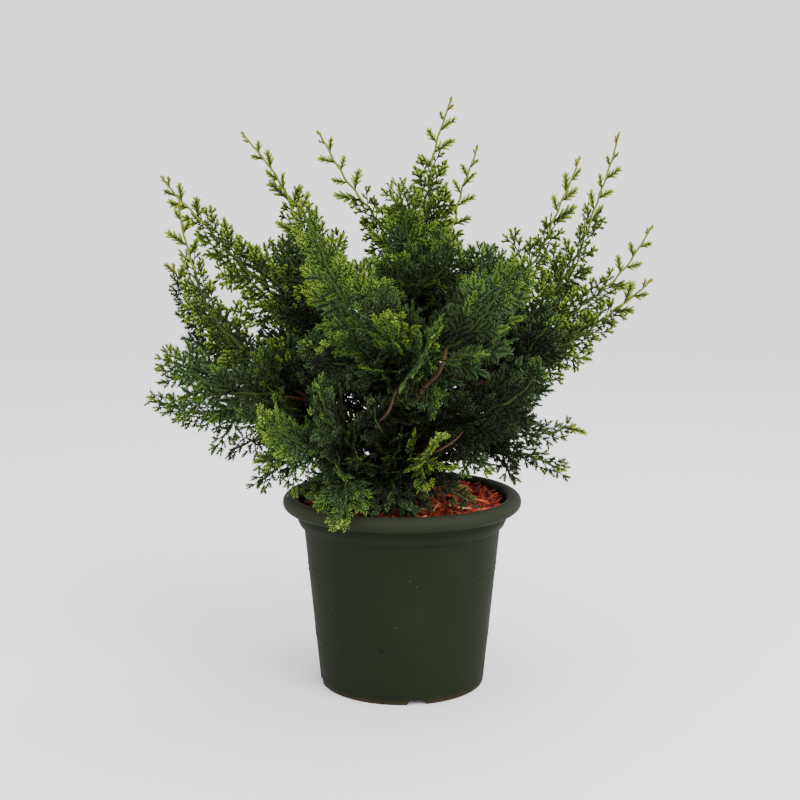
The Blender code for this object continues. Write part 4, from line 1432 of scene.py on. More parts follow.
@dataclass
class Limbs:
    """The trunk, the boughs and the bare twigs, with the relief of their bark."""

    GRAIN = "grain"
    CRACK_LAYER = 9.0  # of the noise that the cracks follow
    trunk_sides: int = 32
    trunk_stations: int = 90
    bough_sides: int = 14
    bough_stations: int = 40
    relief: float = 0.10  # of the bark, as a share of the radius
    strips: Pair = (3.0, 55.0)  # the strips' pattern round and along
    cracks: Pair = (5.0, 120.0)  # the cracks' pattern round and along
    crack_depth: float = 1.2  # beside the strips' relief
    level: float = 0.25  # that makes up for the cracks

    def _limb(self, name: str, sides: int, stations: int, point: Path, radius: Course,
              material: Material) -> Object:
        """One limb's mesh.

        Args:
            name: the piece's name.
            sides: faces round it.
            stations: rings along it.
            point: its centre line by share.
            radius: its radius by share.
            material: the bark.

        Returns:
            The object.
        """
        shape = Template.of(unit_tube(sides, stations))
        shares = np.linspace(0.0, 1.0, stations)
        points = np.array([point(share)[:] for share in shares])
        radii = np.array([radius(share) for share in shares])
        side = (Vector(points[1]) - Vector(points[0])).orthogonal().normalized()
        looks = []
        for share in shares:
            ahead = point(min(1.0, share + Line.STEP))
            along = (ahead - point(max(0.0, share - Line.STEP))).normalized()
            side = (side - along * side.dot(along)).normalized()
            looks.append(side[:])
        verts = bent_tubes(shape, stations, points, radii, np.array(looks))
        ring = np.rint(shape.verts[:, 2] * (stations - 1)).astype(int)
        length = float(np.linalg.norm(points[-1] - points[0]))
        grain = shape.verts * np.array([1.0, 1.0, length])
        grain[:, :2] *= radii[ring, None]
        centre = points[ring]
        round_strips, along_strips = self.strips
        round_cracks, along_cracks = self.cracks
        for index, (x, y, z) in enumerate(shape.verts):
            along = z * length
            strip = noise.noise(Vector((x * round_strips, y * round_strips, along * along_strips)))
            crack = abs(noise.noise(Vector((x * round_cracks, y * round_cracks,
                                            along * along_cracks + self.CRACK_LAYER))))
            swell = 1.0 + self.relief * (strip - self.crack_depth * crack + self.level)
            verts[index] = centre[index] + (verts[index] - centre[index]) * swell
        bark = Gathered()
        bark.add(verts, shape.tris, np.zeros(len(shape.tris), dtype=int), shape.tips)
        obj = bark.to_object(name, [material], True)
        pattern = obj.data.attributes.new(self.GRAIN, "FLOAT_VECTOR", "POINT")
        pattern.data.foreach_set("vector", grain.astype(np.float32).ravel())
        return obj

    def _slim(self, name: str, point: Path, radii: Pair, material: Material, *nodes: str) -> None:
        """Builds and dresses a bough or a bare twig, from its line and its radii at both ends."""
        piece = self._limb(name, self.bough_sides, self.bough_stations, point,
                           lambda share: between(radii, share), material)
        dressed(piece, "cypress_bark", *nodes)

    def build(self, material: Material, twig_material: Material) -> None:
        """Builds the trunk, every bough and the bare twigs.

        Args:
            material: the bark of the trunk and the boughs.
            twig_material: the bark of the bare twigs.
        """
        trunk = self._limb("trunk_bark", self.trunk_sides, self.trunk_stations, trunk_point,
                           trunk_radius, material)
        for vert in trunk.data.vertices:
            if vert.co.z < TRUNK_FOOT.z:
                vert.co.z = TRUNK_FOOT.z
        dressed(trunk, "cypress_bark", "trunk")
        for bough in BOUGHS:
            self._slim(bough.node + "_bark", lambda share, bough=bough: bough_point(bough, share),
                       (bough.radius, BOUGH_TIP_RADIUS), material, bough.node)
        for twig in BARE_TWIGS:
            self._slim(twig.name, lambda share, twig=twig: twig_point(twig, share), twig.radii,
                       twig_material)


# --- The foliage ---

@dataclass(frozen=True)
class SprigShape:
    """A sprig: a slim axis with flattened lobes of scale leaves in turn on both sides.

    The sprig is one unit long, along Y, and its flat side looks along Z.
    """

    SECTION = 0.55  # radius of a lobe's three-sided section, for a width of one
    lobes: int  # beside the one at the tip
    lobe_length: float
    lobe_width: float
    lobe_thick: float
    axis_radius: float
    tip_width: float = 0.0  # a lobe's width at its tip, as a share of its foot's
    angles: Pair = (46.0, 27.0)  # of the lobes at its foot and its tip
    first: float = 0.10
    last: float = 0.80
    bend: float = 0.08
    axis: Pair = (0.94, 0.45)  # its length and its middle
    taper: Pair = (1.06, 0.46)  # lobes' length at the foot, and its loss
    uneven: Pair = (0.82, 1.15)  # in length
    uneven_width: Pair = (0.88, 1.12)
    sway: float = 5.0  # of a lobe in the flat, in degrees
    tilt: float = 14.0  # of a lobe out of the flat
    end_lobe: Triple = (0.74, 0.28, 6.0)  # its foot, length and sway
    droop: float = 0.6  # how far the sprig hangs, as a share of its bend

    def _lobe(self, bm: BMesh, at: Vector, degrees: float, tilt: float, length: float,
              width: float) -> None:
        """One lobe: a flat three-sided spike, pointed or blunt.

        Args:
            bm: the sprig.
            at: its foot.
            degrees: its angle in the flat.
            tilt: and out of it.
            length: its length.
            width: its width.
        """
        verts = bmesh.ops.create_cone(bm, cap_ends=True, segments=3, radius1=self.SECTION,
                                      radius2=self.SECTION * self.tip_width, depth=1.0)["verts"]
        layer = bm.verts.layers.float[TIP]
        for vert in verts:
            vert[layer] = vert.co.z + 0.5
            vert.co = Vector((vert.co.x * width, (vert.co.z + 0.5) * length,
                              vert.co.y * self.lobe_thick))
        turn = (Matrix.Rotation(math.radians(degrees), 4, "Z")
                @ Matrix.Rotation(math.radians(tilt), 4, "X"))
        bmesh.ops.transform(bm, matrix=Matrix.Translation(at) @ turn, verts=verts)

    def build(self, dice: random.Random) -> Template:
        """Builds the sprig.

        Args:
            dice: seeded chance.

        Returns:
            The template.
        """
        bm = bmesh.new()
        bm.verts.layers.float.new(TIP)
        long, middle = self.axis
        axis = bmesh.ops.create_cone(bm, cap_ends=True, segments=3, radius1=self.axis_radius,
                                     radius2=self.axis_radius * self.tip_width, depth=long)["verts"]
        upright = Matrix.Rotation(-math.pi / 2, 3, "X")
        bmesh.ops.rotate(bm, verts=axis, cent=(0, 0, 0), matrix=upright)
        bmesh.ops.translate(bm, verts=axis, vec=(0, middle, 0))
        side = dice.choice((1, -1))
        for index in range(self.lobes):
            share = self.first + (self.last - self.first) * index / (self.lobes - 1)
            taper = self.taper[0] - self.taper[1] * share
            length = self.lobe_length * taper * dice.uniform(*self.uneven)
            degrees = between(self.angles, share) + dice.uniform(-self.sway, self.sway)
            self._lobe(bm, Vector((0, share, 0)), side * degrees,
                       dice.uniform(-self.tilt, self.tilt), length,
                       self.lobe_width * dice.uniform(*self.uneven_width))
            side = -side
        foot, length, sway = self.end_lobe
        self._lobe(bm, Vector((0, foot, 0)), dice.uniform(-sway, sway), 0.0, length,
                   self.lobe_width)
        bend = dice.uniform(-1.0, 1.0) * self.bend
        for vert in bm.verts:
            vert.co.x += bend * vert.co.y ** 2
            vert.co.z -= self.droop * self.bend * vert.co.y ** 2
        return Template.of(bm)


class Habit(Enum):
    """How a sprig is built: close and pointed in the plumes, open and blunt at their edges."""

    CLOSE = (SprigShape(6, 0.50, 0.220, 0.110, 0.075),
             SprigShape(9, 0.46, 0.165, 0.080, 0.055),
             SprigShape(12, 0.42, 0.130, 0.062, 0.042))
    OPEN = (SprigShape(2, 0.46, 0.310, 0.170, 0.110, 0.50, first=0.30, last=0.54),
            SprigShape(4, 0.42, 0.235, 0.130, 0.080, 0.50, first=0.22, last=0.66),
            SprigShape(6, 0.38, 0.175, 0.100, 0.058, 0.50, first=0.18, last=0.76))


class Sprigs:
    """The sprigs' templates by habit and size, and where each copy of them goes."""

    SEED = 31
    VARIANTS = 5
    LIMITS = (0.0115, 0.0160, 1.0)  # longest of each size
    OPEN_WIDE = 0.0026  # of an opening, on each side of its twig
    OPEN_SAMPLES = 24  # along each twig
    OPEN_PARTS = (0.0, 0.5, 0.9)  # where along a sprig it must keep out of the openings

    def __init__(self) -> None:
        """Builds the templates and finds the openings."""
        dice = random.Random(self.SEED)
        self.bare = [twig_point(twig, share) for twig in BARE_TWIGS
                     for share in np.linspace(*twig.opening, self.OPEN_SAMPLES)]
        self.shapes = {(habit, size): [shape.build(dice) for _ in range(self.VARIANTS)]
                       for habit in Habit for size, shape in enumerate(habit.value)}
        self.places: dict[tuple[Habit, int, int],
                          list[tuple[Vector, Vector, Vector, float, int]]] = {}

    def place(self, dice: random.Random, habit: Habit, at: Vector, way: Vector, normal: Vector,
              length: float, tone: int) -> None:
        """Notes one sprig.

        Args:
            dice: seeded chance, for the variant.
            habit: how it is built.
            at: its foot.
            way: its direction.
            normal: the way its flat side looks.
            length: its length.
            tone: its green's place.
        """
        size = next(index for index, limit in enumerate(self.LIMITS) if length <= limit)
        key = (habit, size, dice.randrange(self.VARIANTS))
        self.places.setdefault(key, []).append((at, way, normal, length, tone))

    def _is_open(self, point: Vector) -> bool:
        """Whether a point lies in the opening before a bare twig."""
        for bare in self.bare:
            away = point - bare
            look = (Vector(VIEWPOINT) - bare).normalized()
            ahead = away.dot(look)
            if ahead > 0.0 and (away - look * ahead).length < self.OPEN_WIDE:
                return True
        return False

    def _stays(self, at: Vector, way: Vector, length: float) -> bool:
        """Whether a sprig keeps out of the openings."""
        return not any(self._is_open(at + way * length * part) for part in self.OPEN_PARTS)

    def gather(self) -> Gathered:
        """Joins the noted sprigs and forgets them.

        Returns:
            The joined triangles.
        """
        joined = Gathered()
        for (habit, size, variant), noted in self.places.items():
            found = [item for item in noted if self._stays(item[0], item[1], item[3])]
            if not found:
                continue
            ways = np.array([item[1][:] for item in found])
            normals = np.array([item[2][:] for item in found])
            lengths = np.array([item[3] for item in found])
            frames = np.stack([np.cross(ways, normals), ways, normals], axis=2)
            joined.add_copies(self.shapes[habit, size][variant], frames * lengths[:, None, None],
                              np.array([item[0][:] for item in found]),
                              np.array([item[4] for item in found]))
        self.places = {}
        return joined


@dataclass(frozen=True)
class Growth:
    """How the foliage grows.

    A pair of numbers is a range, a value at the foot and its loss to the tip, or what its
    comment says.
    """

    seed: int = 4
    stem_radii: Pair = (0.00165, 0.00100)
    stem_knots: float = 0.10  # how far leaf scales swell it
    stem_wave: float = 0.0026
    stem_zigzag: float = 0.0009
    stem_ends: Pair = (0.995, 0.95)  # with a whip and without
    stem_bark: Triple = (0.12, 0.6, 0.95)  # shares where its barks start
    leader_whip: float = 0.2  # a longer whip makes a leader plume
    spray_step: float = 0.0040  # both sides in turn
    spray_first: float = 0.06
    spray_last: float = 0.04  # share of a stem beyond the last one
    spray_jitter: Pair = (0.25, 5.0)  # in steps and degrees
    spray_lengths: Pair = (0.80, 1.06)
    spray_tilt: Pair = (1.0, 12.0)
    cross_every: int = 3  # one spray in so many stands well out of the flat
    cross_tilt: Pair = (24.0, 54.0)
    cross_short: float = 0.80
    slim: float = 0.96  # how much narrower the fans are than the solids'
    leader_room: Pair = (0.020, 0.50)  # a spray's least limit, and its rise
    tip_room: Pair = (0.009, 0.90)
    spray_radii: Pair = (0.00085, 0.00050)
    spray_curve: Pair = (0.90, 0.24)  # its own way and the stem's
    spray_sag: Pair = (-0.03, 0.05)
    spray_until: float = 0.80  # where its twig ends
    mood: float = 0.07  # how much one spray's greens differ from the next one's
    sprig_step: float = 0.0033  # both sides in turn
    sprig_first: Pair = (0.08, 0.09)  # counted and placed from
    sprig_limits: Pair = (0.05, 0.04)  # least, and beyond the last
    sprig_jitter: Triple = (0.2, 6.0, 10.0)  # steps, sway and tilt
    sprig_share: Pair = (0.42, 0.20)
    sprig_lengths: Pair = (0.85, 1.12)
    sprig_least: float = 0.0090
    sprig_angles: Pair = (46.0, 28.0)  # at a spray's foot and tip
    open_from: float = 0.45  # a leader plume's sprigs are open beyond this share
    end_share: float = 0.36  # of the sprig that ends a spray
    end_long: float = 1.1
    whip_step: float = 0.0125
    whip_sprig: Pair = (0.024, 0.006)  # at its foot and tip
    whip_lengths: Pair = (0.75, 1.15)
    whip_jitter: Triple = (0.3, 0.2, 30.0)  # start, steps and tilt
    whip_last: float = 0.97
    whip_angles: Triple = (36.0, 52.0, 16.0)  # range and loss
    whip_greens: Pair = (0.15, 0.85)  # shares where they change
    whip_end: Pair = (0.955, 0.009)  # the last sprig's place and length
    tip_end: Pair = (0.93, 0.013)
    twig_shares: tuple[float, ...] = (0.14, 0.28, 0.40, 0.52)
    twig_pull: float = 0.6  # how far a whip pulls them down
    twig_length: float = 1.05
    twig_lengths: Pair = (0.9, 1.15)
    twig_rise: float = 8.0  # either way, in degrees
    twig_radii: Pair = (0.0011, 0.0006)
    twig_sag: float = 0.05
    twig_ends: Triple = (0.97, 0.93, 0.013)  # tube, sprig and its length
    twig_sprays: Triple = (0.15, 0.90, 1.1)  # first, last, longer steps
    twig_fan: Pair = (1.1, 0.5)
    twig_span: float = 0.25  # share of the stem's greens that it passes through
    twig_wide: float = 0.50
    bough_shoots: tuple[int, float] = (7, 0.26)  # their number, and where they start
    trunk_shoots: tuple[int, float] = (26, 0.06)
    shoot_length: Pair = (0.042, 0.070)
    shoot_ways: Triple = (0.55, 0.75, 0.10)  # onward, aside and up
    shoot_turn: Pair = (137.5, 20.0)  # in turn, and either way
    shoot_sag: float = 0.04
    shoot_share: float = 0.10
    # the shoots' dark greens are partly painted shade
    shoot_tone: float = 0.12
    green_weights: Triple = (1.1, 0.48, 0.24)  # plume, stem and spray
    green_level: float = 0.09
    green_chance: float = 0.035
    green_limits: tuple[float, ...] = (0.04, 0.22, 0.34, 0.52, 0.76)
    shaded_tone: float = 0.4  # plumes up to this tone have dark twigs, as painted shade
    slot_tones: Pair = (0.3, 0.6)  # between the record's foliage slots


class Bark(Enum):
    """The barks of the twigs, by their place among a piece's materials."""

    WOODY = 0
    GREEN = 1
    YOUNG = 2
    # a darker copy of the green bark: painted shade on the twigs of the dark plumes
    SHADED = 3


class Crown:
    """The foliage: what all its parts share, and the order in which they grow."""

    STEM_SIDES = 6
    STEM_STATIONS = 64
    LATERAL_SIDES = 3
    LATERAL_STATIONS = 6

    def __init__(self, growth: Growth, greens: Sequence[Material],
                 barks: Sequence[Material]) -> None:
        """Prepares the templates.

        Args:
            growth: the growth's sizes.
            greens: one material for each green.
            barks: one material for each bark of the twigs.
        """
        self.growth = growth
        self.greens = greens
        self.barks = barks
        self.sprigs = Sprigs()
        self.stem_shape = Template.of(unit_tube(self.STEM_SIDES, self.STEM_STATIONS))
        self.lateral_shape = Template.of(unit_tube(self.LATERAL_SIDES, self.LATERAL_STATIONS))
        self.dice = random.Random(growth.seed)

    def build(self) -> None:
        """Grows every mass, and the shoots on every bough."""
        for mass in MASSES:
            Plume(self, mass).grow("plume_" + mass.name, "plume_" + mass.name)
        for mass in INNER:
            Plume(self, mass).grow("inner_" + mass.name)
        for bough in BOUGHS:
            Shoots(self, bough.node, lambda share, bough=bough: bough_point(bough, share),
                   *self.growth.bough_shoots).grow()
        Shoots(self, "trunk", trunk_point, *self.growth.trunk_shoots).grow()


class Grower:
    """Grows twigs with flat sprays: what plumes and shoots have in common."""

    RIM_TOP = 0.1885  # all is clear above it
    INSIDE = (0.098, 0.1745)  # within this reach, above this height, a sprig clears the chips
    OUTSIDE = 0.1175  # beyond this reach it clears the rim
    UNDER_RIM = (0.104, 0.168)  # and beyond this reach, under this height, the wall

    def __init__(self, crown: Crown, tone: float) -> None:
        """Starts with no twigs.

        Args:
            crown: what all growers share.
            tone: how light the greens are, from 0 to 1.
        """
        self.crown = crown
        self.growth = crown.growth
        self.dice = crown.dice
        self.tone = tone
        self.mood = 0.0  # how much lighter the present spray is than its neighbours
        self.ends = Habit.CLOSE  # the sprigs at a spray's end
        # the dark plumes' twigs take the darker bark: painted shade
        self.bark = Bark.GREEN if tone > self.growth.shaded_tone else Bark.SHADED
        self.twigs = Gathered()

    def jitter(self, size: float) -> float:
        """A random step to either side."""
        return self.dice.uniform(-size, size)

    def green(self, share: float, out: float) -> int:
        """A sprig's green: lighter towards the plume's tip and towards a spray's tip; the darker
        greens further in are partly painted shade.

        Args:
            share: how far along the stem.
            out: how far along the spray.

        Returns:
            The green's place among the materials.
        """
        by_tone, by_share, by_out = self.growth.green_weights
        score = (self.tone - 0.5) * by_tone + by_share * share + by_out * out ** 2
        score -= self.growth.green_level
        score += self.mood + self.dice.gauss(0.0, self.growth.green_chance)
        found = list(Green)[sum(score > limit for limit in self.growth.green_limits)]
        return found.sunned.index if self.ends is Habit.OPEN else found.index

    def is_clear(self, point: Vector) -> bool:
        """Whether a point is within the plant's reach, outside the pot and above the mulch.

        Args:
            point: the point.

        Returns:
            True where it is.
        """
        if any(not low <= value <= high for low, value, high in zip(CAD_BOX[0], point, CAD_BOX[1])):
            return False
        reach = point.xy.length
        if point.z > self.RIM_TOP:
            return True
        if reach < self.INSIDE[0]:
            return point.z > self.INSIDE[1]
        return reach > self.OUTSIDE or (reach > self.UNDER_RIM[0] and point.z < self.UNDER_RIM[1])

    def add_tube(self, shape: Template, stations: int, line: Line, until: float, radii: Pair,
                 knots: float, barks: Sequence[tuple[float, Bark]]) -> None:
        """Adds one twig's tube.

        Args:
            shape: the unit tube.
            stations: rings along it.
            line: its centre line.
            until: the share of the line where it ends.
            radii: at its foot and its tip.
            knots: how far its leaf scales swell it, as a share of the radius.
            barks: its barks, each with the share of the line where it starts.
        """
        shares = np.linspace(0.0, until, stations)
        points = np.array([line.point(share)[:] for share in shares])
        sides = np.array([line.normal(share)[:] for share in shares])
        sizes = radii[0] + (radii[1] - radii[0]) * shares / until
        sizes *= 1.0 + knots * np.where(np.arange(stations) % 2 == 0, 1.0, -1.0)
        verts = bent_tubes(shape, stations, points, sizes, sides)
        height = shape.verts[shape.tris].mean(axis=1)[:, 2] * until
        slots = np.zeros(len(shape.tris), dtype=int)
        for begins, bark in barks:
            slots[height >= begins] = bark.value
        self.twigs.add(verts, shape.tris, slots, shape.tips)

    def add_twig(self, line: Line, until: float, radii: Pair) -> None:
        """Adds the slim tube of a spray or a side twig."""
        self.add_tube(self.crown.lateral_shape, self.crown.LATERAL_STATIONS, line, until, radii,
                      0.0, ((0.0, self.bark),))

    def turned(self, along: Vector, normal: Vector, side: int, degrees: float,
               tilt: float) -> tuple[Vector, Vector]:
        """A direction to one side of a twig.

        Args:
            along: the twig's direction.
            normal: the way its flat side looks.
            side: 1 or -1.
            degrees: the angle from the twig.
            tilt: how far it leaves the flat, in degrees.

        Returns:
            The direction and the way its own flat side looks.
        """
        turn = Matrix.Rotation(math.radians(-side * degrees), 3, normal)
        lean = Matrix.Rotation(math.radians(tilt), 3, along)
        way = (lean @ (turn @ along)).normalized()
        facing = lean @ normal
        return way, (facing - way * facing.dot(way)).normalized()

    def sprig(self, habit: Habit, at: Vector, way: Vector, normal: Vector, length: float,
              green: int) -> None:
        """Places one sprig, unless it would leave the reach or enter the pot."""
        if self.is_clear(at + way * length) and self.is_clear(at):
            self.crown.sprigs.place(self.dice, habit, at, way, normal, length, green)

    def lateral(self, start: Vector, along: Vector, way: Vector, normal: Vector, length: float,
                share: float) -> None:
        """One flat spray: its own twig, curved towards the stem's tip, with sprigs in turn.

        Args:
            start: its foot.
            along: the stem's direction there.
            way: its own direction at the foot.
            normal: the way its flat side looks.
            length: its length.
            share: how far along the stem it stands.
        """
        growth = self.growth
        if not self.is_clear(start + way * length * growth.spray_until):
            return
        self.mood = self.jitter(growth.mood)
        own, stems = growth.spray_curve
        end = start + (way * own + along * stems).normalized() * length
        line = Line(start, way, end, self.dice.uniform(*growth.spray_sag), normal)
        self.add_twig(line, growth.spray_until, growth.spray_radii)
        inner = 1.0 - growth.end_share
        counted, first = growth.sprig_first
        lowest, beyond = growth.sprig_limits
        longest, loss = growth.sprig_share
        steps, sway, lean = growth.sprig_jitter
        count = max(2, round((inner - counted) * length / growth.sprig_step))
        side = self.dice.choice((1, -1))
        for index in range(count):
            out = first + (inner - first) * (index + self.jitter(steps)) / (count - 1)
            out = min(max(out, lowest), inner + beyond)
            size = length * (longest - loss * out) * self.dice.uniform(*growth.sprig_lengths)
            degrees = between(growth.sprig_angles, out) + self.jitter(sway)
            direction, facing = self.turned(line.along(out), line.normal(out), side, degrees,
                                            self.jitter(lean))
            self.sprig(self.ends if out > growth.open_from else Habit.CLOSE, line.point(out),
                       direction, facing, max(growth.sprig_least, size), self.green(share, out))
            side = -side
        size = max(growth.sprig_least, growth.end_long * growth.end_share * length)
        self.sprig(self.ends, line.point(inner), line.along((1.0 + inner) / 2), line.normal(inner),
                   size, self.green(share, 1.0))

    def laterals(self, line: Line, first: float, last: float, step: float, reach: Course,
                 begin: float, span: float) -> None:
        """Sprays in turn along a twig.

        Args:
            line: the twig's line.
            first: share where they start.
            last: share where they end.
            step: length of twig between two sprays.
            reach: a spray's length by share.
            begin: how far along the plume's stem the twig starts.
            span: how much of the plume's stem the twig stands for.
        """
        growth = self.growth
        steps, sway = growth.spray_jitter
        count = max(2, round((last - first) * line.length / step))
        side = 1
        for index in range(count):
            share = first + (last - first) * (index + self.jitter(steps)) / (count - 1)
            share = min(max(share, 0.02), 0.98)
            degrees = between(SPRAY_ANGLES, share)
            crossing = index % growth.cross_every == growth.cross_every - 1
            tilt = self.dice.uniform(*(growth.cross_tilt if crossing else growth.spray_tilt))
            tilt *= self.dice.choice((1, -1))
            along = line.along(share)
            way, normal = self.turned(along, line.normal(share), side,
                                      degrees + self.jitter(sway), tilt)
            length = reach(share) * self.dice.uniform(*growth.spray_lengths)
            length *= growth.cross_short if crossing else 1.0
            self.lateral(line.point(share), along, way, normal, length, begin + span * share)
            side = -side

    def twig(self, line: Line, share: float) -> None:
        """A twig with sprays of its own.

        Args:
            line: its line.
            share: how far along the plume's stem it stands.
        """
        growth = self.growth
        until, at, small = growth.twig_ends
        first, last, longer = growth.twig_sprays
        foot, loss = growth.twig_fan
        self.add_twig(line, until, growth.twig_radii)
        self.laterals(line, first, last, longer * growth.spray_step,
                      lambda part: growth.twig_wide * line.length * (foot - loss * part),
                      share, growth.twig_span)
        self.sprig(Habit.CLOSE, line.point(at), line.along(1.0), line.normal(1.0), small,
                   self.green(share + growth.twig_span, 1.0))

    def finish(self, name: str, *nodes: str) -> None:
        """Makes and dresses the grown pieces.

        Args:
            name: what the pieces' names start with.
            nodes: the nodes that the sprays replace.
        """
        dressed(self.twigs.to_object(name + "_twigs", self.crown.barks, True), "cypress_bark")
        dark, bright = self.growth.slot_tones
        slot = ("foliage_bright" if self.tone > bright else
                "foliage_green" if self.tone > dark else "foliage_dark")
        sprays = self.crown.sprigs.gather().to_object(name + "_sprays", self.crown.greens, False)
        dressed(sprays, slot, *nodes)


class Plume(Grower):
    """Grows one mass: a stem with sprays in turn, side twigs and a bare leader."""

    def __init__(self, crown: Crown, mass: Mass) -> None:
        """Sets the stem's line.

        Args:
            crown: what all growers share.
            mass: the plume's sizes.
        """
        super().__init__(crown, mass.tone)
        growth = crown.growth
        self.mass = mass
        tip, way = limb_end(mass.limb)
        start = tip + way * GAP + stem_side(mass) * STEM_OFFSET
        end = polar(mass.heading, mass.reach, mass.height)
        self.line = Line(start, way, end, mass.sag, plume_normal(mass),
                         growth.stem_wave * self.dice.choice((1, -1)), growth.stem_zigzag)
        self.longest = growth.slim * mass.spread / SPRAY_FULL
        self.is_leader = mass.whip > growth.leader_whip
        self.ends = Habit.OPEN if self.is_leader else Habit.CLOSE

    def reach(self, share: float) -> float:
        """A spray's length by its share of the stem: shorter towards the leader or the tip.

        Args:
            share: how far along the stem.

        Returns:
            The length.
        """
        room = max(0.0, 1.0 - self.mass.whip - share) * self.line.length
        least, rise = self.growth.leader_room if self.is_leader else self.growth.tip_room
        return min(least + rise * room, self.longest * fullness(share, self.mass))

    def whip(self) -> None:
        """The bare leader: open sprigs in turn, smaller towards the tip."""
        growth = self.growth
        first = 1.0 - self.mass.whip
        start, steps, tilt = growth.whip_jitter
        low, high, loss = growth.whip_angles
        mossy, leading = growth.whip_greens
        count = max(1, round(self.mass.whip * self.line.length / growth.whip_step))
        side = 1
        for index in range(count):
            part = (index + start + self.jitter(steps)) / count
            share = first + (growth.whip_last - first) * part
            length = between(growth.whip_sprig, part ** 2)
            way, normal = self.turned(self.line.along(share), self.line.normal(share), side,
                                      self.dice.uniform(low, high) - loss * part,
                                      self.jitter(tilt))
            green = Green.MOSS if part < mossy else (Green.LEADER if part < leading else Green.TIP)
            self.sprig(Habit.OPEN, self.line.point(share), way, normal,
                       length * self.dice.uniform(*growth.whip_lengths), green.index)
            side = -side
        at, size = growth.whip_end
        self.sprig(Habit.OPEN, self.line.point(at), self.line.along(1.0), self.line.normal(1.0),
                   size, Green.TIP.index)

    def side_twigs(self) -> None:
        """Twigs that stand out of the plume's flat on both faces."""
        growth = self.growth
        for index, base in enumerate(growth.twig_shares):
            share = base * (1.0 - growth.twig_pull * self.mass.whip)
            side = 1 if index % 2 == 0 else -1
            face = 1 if index % 4 < 2 else -1
            along = self.line.along(share)
            normal = self.line.normal(share)
            way = Matrix.Rotation(math.radians(-side * TWIG_ANGLE), 3, normal) @ along
            rise = math.radians(TWIG_RISE + self.jitter(growth.twig_rise))
            way = (way * math.cos(rise) + normal * face * math.sin(rise)).normalized()
            flat = (normal * face - way * way.dot(normal * face)).normalized()
            point = self.line.point(share)
            end = (point + way * growth.twig_length * self.longest
                   * self.dice.uniform(*growth.twig_lengths))
            self.twig(Line(point, way, end, growth.twig_sag, flat), share)

    def grow(self, name: str, *nodes: str) -> None:
        """Grows the plume and dresses its two pieces.

        Args:
            name: what the pieces' names start with.
            nodes: the nodes that the plume replaces.
        """
        whip = self.mass.whip
        growth = self.growth
        leafy = 1.0 - whip
        own, green, young = growth.stem_bark
        barks = ((0.0, Bark.WOODY), (own * leafy, self.bark), (green * leafy, Bark.GREEN),
                 ((leafy if self.is_leader else 1.0) * young, Bark.YOUNG))
        self.add_tube(self.crown.stem_shape, self.crown.STEM_STATIONS, self.line,
                      growth.stem_ends[0 if whip > 0.0 else 1], growth.stem_radii,
                      growth.stem_knots, barks)
        self.laterals(self.line, growth.spray_first, 1.0 - max(whip, growth.spray_last),
                      growth.spray_step, self.reach, 0.0, 1.0)
        if whip > 0.0:
            self.whip()
        else:
            at, size = growth.tip_end
            self.sprig(Habit.OPEN, self.line.point(at), self.line.along(0.97),
                       self.line.normal(0.95), size, self.green(1.0, 1.0))
        self.side_twigs()
        self.finish(name, *nodes)


class Shoots(Grower):
    """Short dark twigs round one limb, in the inside of the crown; their darkness is partly painted
    shade.
    """

    def __init__(self, crown: Crown, name: str, point: Path, count: int, first: float) -> None:
        """Keeps the limb.

        Args:
            crown: what all growers share.
            name: the limb's name.
            point: the limb's centre line by share.
            count: how many shoots stand on it.
            first: share of the limb where they start.
        """
        super().__init__(crown, crown.growth.shoot_tone)
        self.first = first
        self.name = name
        self.point = point
        self.count = count

    def grow(self) -> None:
        """Grows the shoots in turn round the limb and dresses their two pieces."""
        growth = self.growth
        onward, outward, upward = growth.shoot_ways
        turn, jitter = growth.shoot_turn
        for index in range(self.count):
            share = self.first + (1.0 - self.first) * (index + self.dice.random()) / self.count
            along = (self.point(min(share + 0.02, 1.0)) - self.point(share - 0.02)).normalized()
            across = along.orthogonal().normalized()
            angle = math.radians(turn * index + self.jitter(jitter))
            aside = across * math.cos(angle) + along.cross(across) * math.sin(angle)
            way = (along * onward + aside * outward + UP * upward).normalized()
            flat = (UP - way * way.dot(UP)).normalized()
            start = self.point(share)
            end = start + way * self.dice.uniform(*growth.shoot_length)
            self.twig(Line(start, way, end, growth.shoot_sag, flat), growth.shoot_share)
        self.finish(self.name + "_shoots")


# --- The studio ---

class Lamp(NamedTuple):
    """A soft square light that looks at the plant."""

    name: str
    heading: float
    reach: float
    height: float
    size: float  # of its side
    power: float  # in watts


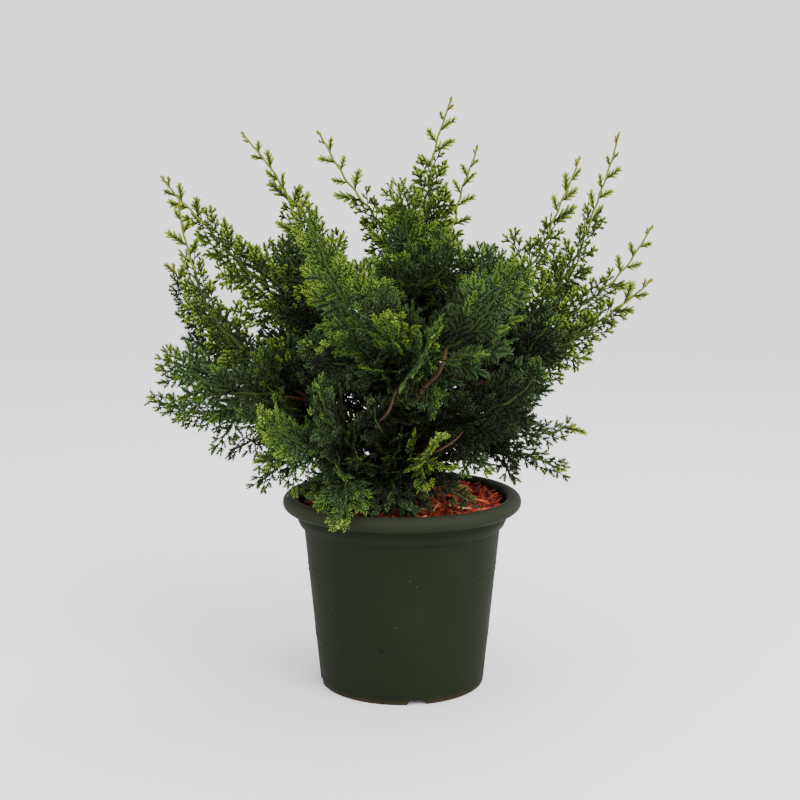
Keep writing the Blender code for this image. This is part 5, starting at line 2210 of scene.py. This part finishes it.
@dataclass
class Studio:
    """A pale floor, soft lights and the camera."""

    LAMPS = (Lamp("key", 300, 1.6, 1.9, 1.2, 38.0), Lamp("fill", 215, 2.0, 1.1, 1.6, 11.0),
             Lamp("top", 60, 0.9, 2.0, 1.2, 14.0), Lamp("low", 325, 1.7, 0.60, 0.8, 9.0))
    AIM = Vector((0, 0, 0.28))
    pitch: float = 0.1502  # downwards, in radians
    lens_mm: float = 64.85
    sensor_mm: float = 36.0
    floor_size: float = 12.0
    floor_tones: Pair = (0.93, 0.96)
    floor_pitch: float = 3.0
    world_strength: float = 1.7

    def camera(self) -> None:
        """Places the camera."""
        data = bpy.data.cameras.new("camera")
        data.sensor_fit = "HORIZONTAL"
        data.sensor_width = self.sensor_mm
        data.lens = self.lens_mm
        camera = linked(bpy.data.objects.new("camera", data))
        camera.location = VIEWPOINT
        camera.rotation_euler = (math.pi / 2 - self.pitch, 0.0, 0.0)
        bpy.context.scene.camera = camera

    def light(self, lamp: Lamp) -> None:
        """Places one light.

        Args:
            lamp: its sizes.
        """
        data = bpy.data.lights.new(lamp.name, "AREA")
        data.size = lamp.size
        data.energy = lamp.power
        light = linked(bpy.data.objects.new(lamp.name, data))
        light.location = polar(lamp.heading, lamp.reach, lamp.height)
        light.rotation_euler = (self.AIM - light.location).to_track_quat("-Z", "Y").to_euler()

    def floor(self) -> None:
        """The pale floor, a little mottled."""
        surface = Surface("studio_floor", 0.9)
        grain = surface.noise(surface.coordinates(), self.floor_pitch)
        surface.color(surface.mix(grain, *((tone, tone, tone) for tone in self.floor_tones)))
        bm = bmesh.new()
        bmesh.ops.create_grid(bm, x_segments=1, y_segments=1, size=self.floor_size / 2)
        from_bmesh(bm, "studio_floor", [surface.material])

    def world(self) -> None:
        """An even white surround."""
        world = bpy.data.worlds.new("surround")
        world.use_nodes = True
        background = world.node_tree.nodes["Background"]
        background.inputs["Color"].default_value = (1.0, 1.0, 1.0, 1.0)
        background.inputs["Strength"].default_value = self.world_strength
        bpy.context.scene.world = world

    def build(self) -> None:
        """Sets up the whole studio."""
        self.camera()
        self.world()
        self.floor()
        for lamp in self.LAMPS:
            self.light(lamp)


def build_all() -> None:
    """Builds every piece in order."""
    groups = Groups()
    Studio().build()
    Pot().build(PlasticFinish().build(groups))
    dark_mulch = ChipFinish("mulch_bed", linear(72, 32, 20)).build(groups)
    compost = ChipFinish("compost_crumb", linear(44, 30, 22)).build(groups)
    for node, material in (("bark_mulch", dark_mulch), ("root_ball", compost)):
        mesh = frame["nodes"][node].data
        mesh.materials.clear()
        mesh.materials.append(material)
    mulch = Mulch()
    mulch.strew([tone.finish.build(groups) for tone in Chip])
    mulch.nugget(ChipFinish("bark_nugget_plates", linear(120, 54, 38)).build(groups))
    Limbs().build(BarkFinish("limb_bark", linear(28, 13, 8), linear(88, 44, 25)).build(groups),
                  BarkFinish("bare_bark", linear(40, 25, 11), linear(92, 62, 27)).build(groups))
    barks = [BarkFinish("twig_bark_woody", linear(44, 26, 14), linear(100, 62, 32)).build(groups),
             LeafFinish("twig_bark_green", linear(39, 50, 22), 0.65).build(groups),
             LeafFinish("twig_bark_young", linear(78, 84, 32), 0.6).build(groups),
             # a darker copy of the green twig bark: painted shade
             LeafFinish("twig_bark_shaded", linear(22, 30, 15), 0.7).build(groups)]
    Crown(Growth(), [green.finish.build(groups) for green in Green], barks).build()


def main() -> None:
    """Builds the scene."""
    logging.basicConfig(level=logging.INFO, format="%(message)s")
    build_all()


if __name__ == "__main__":
    main()
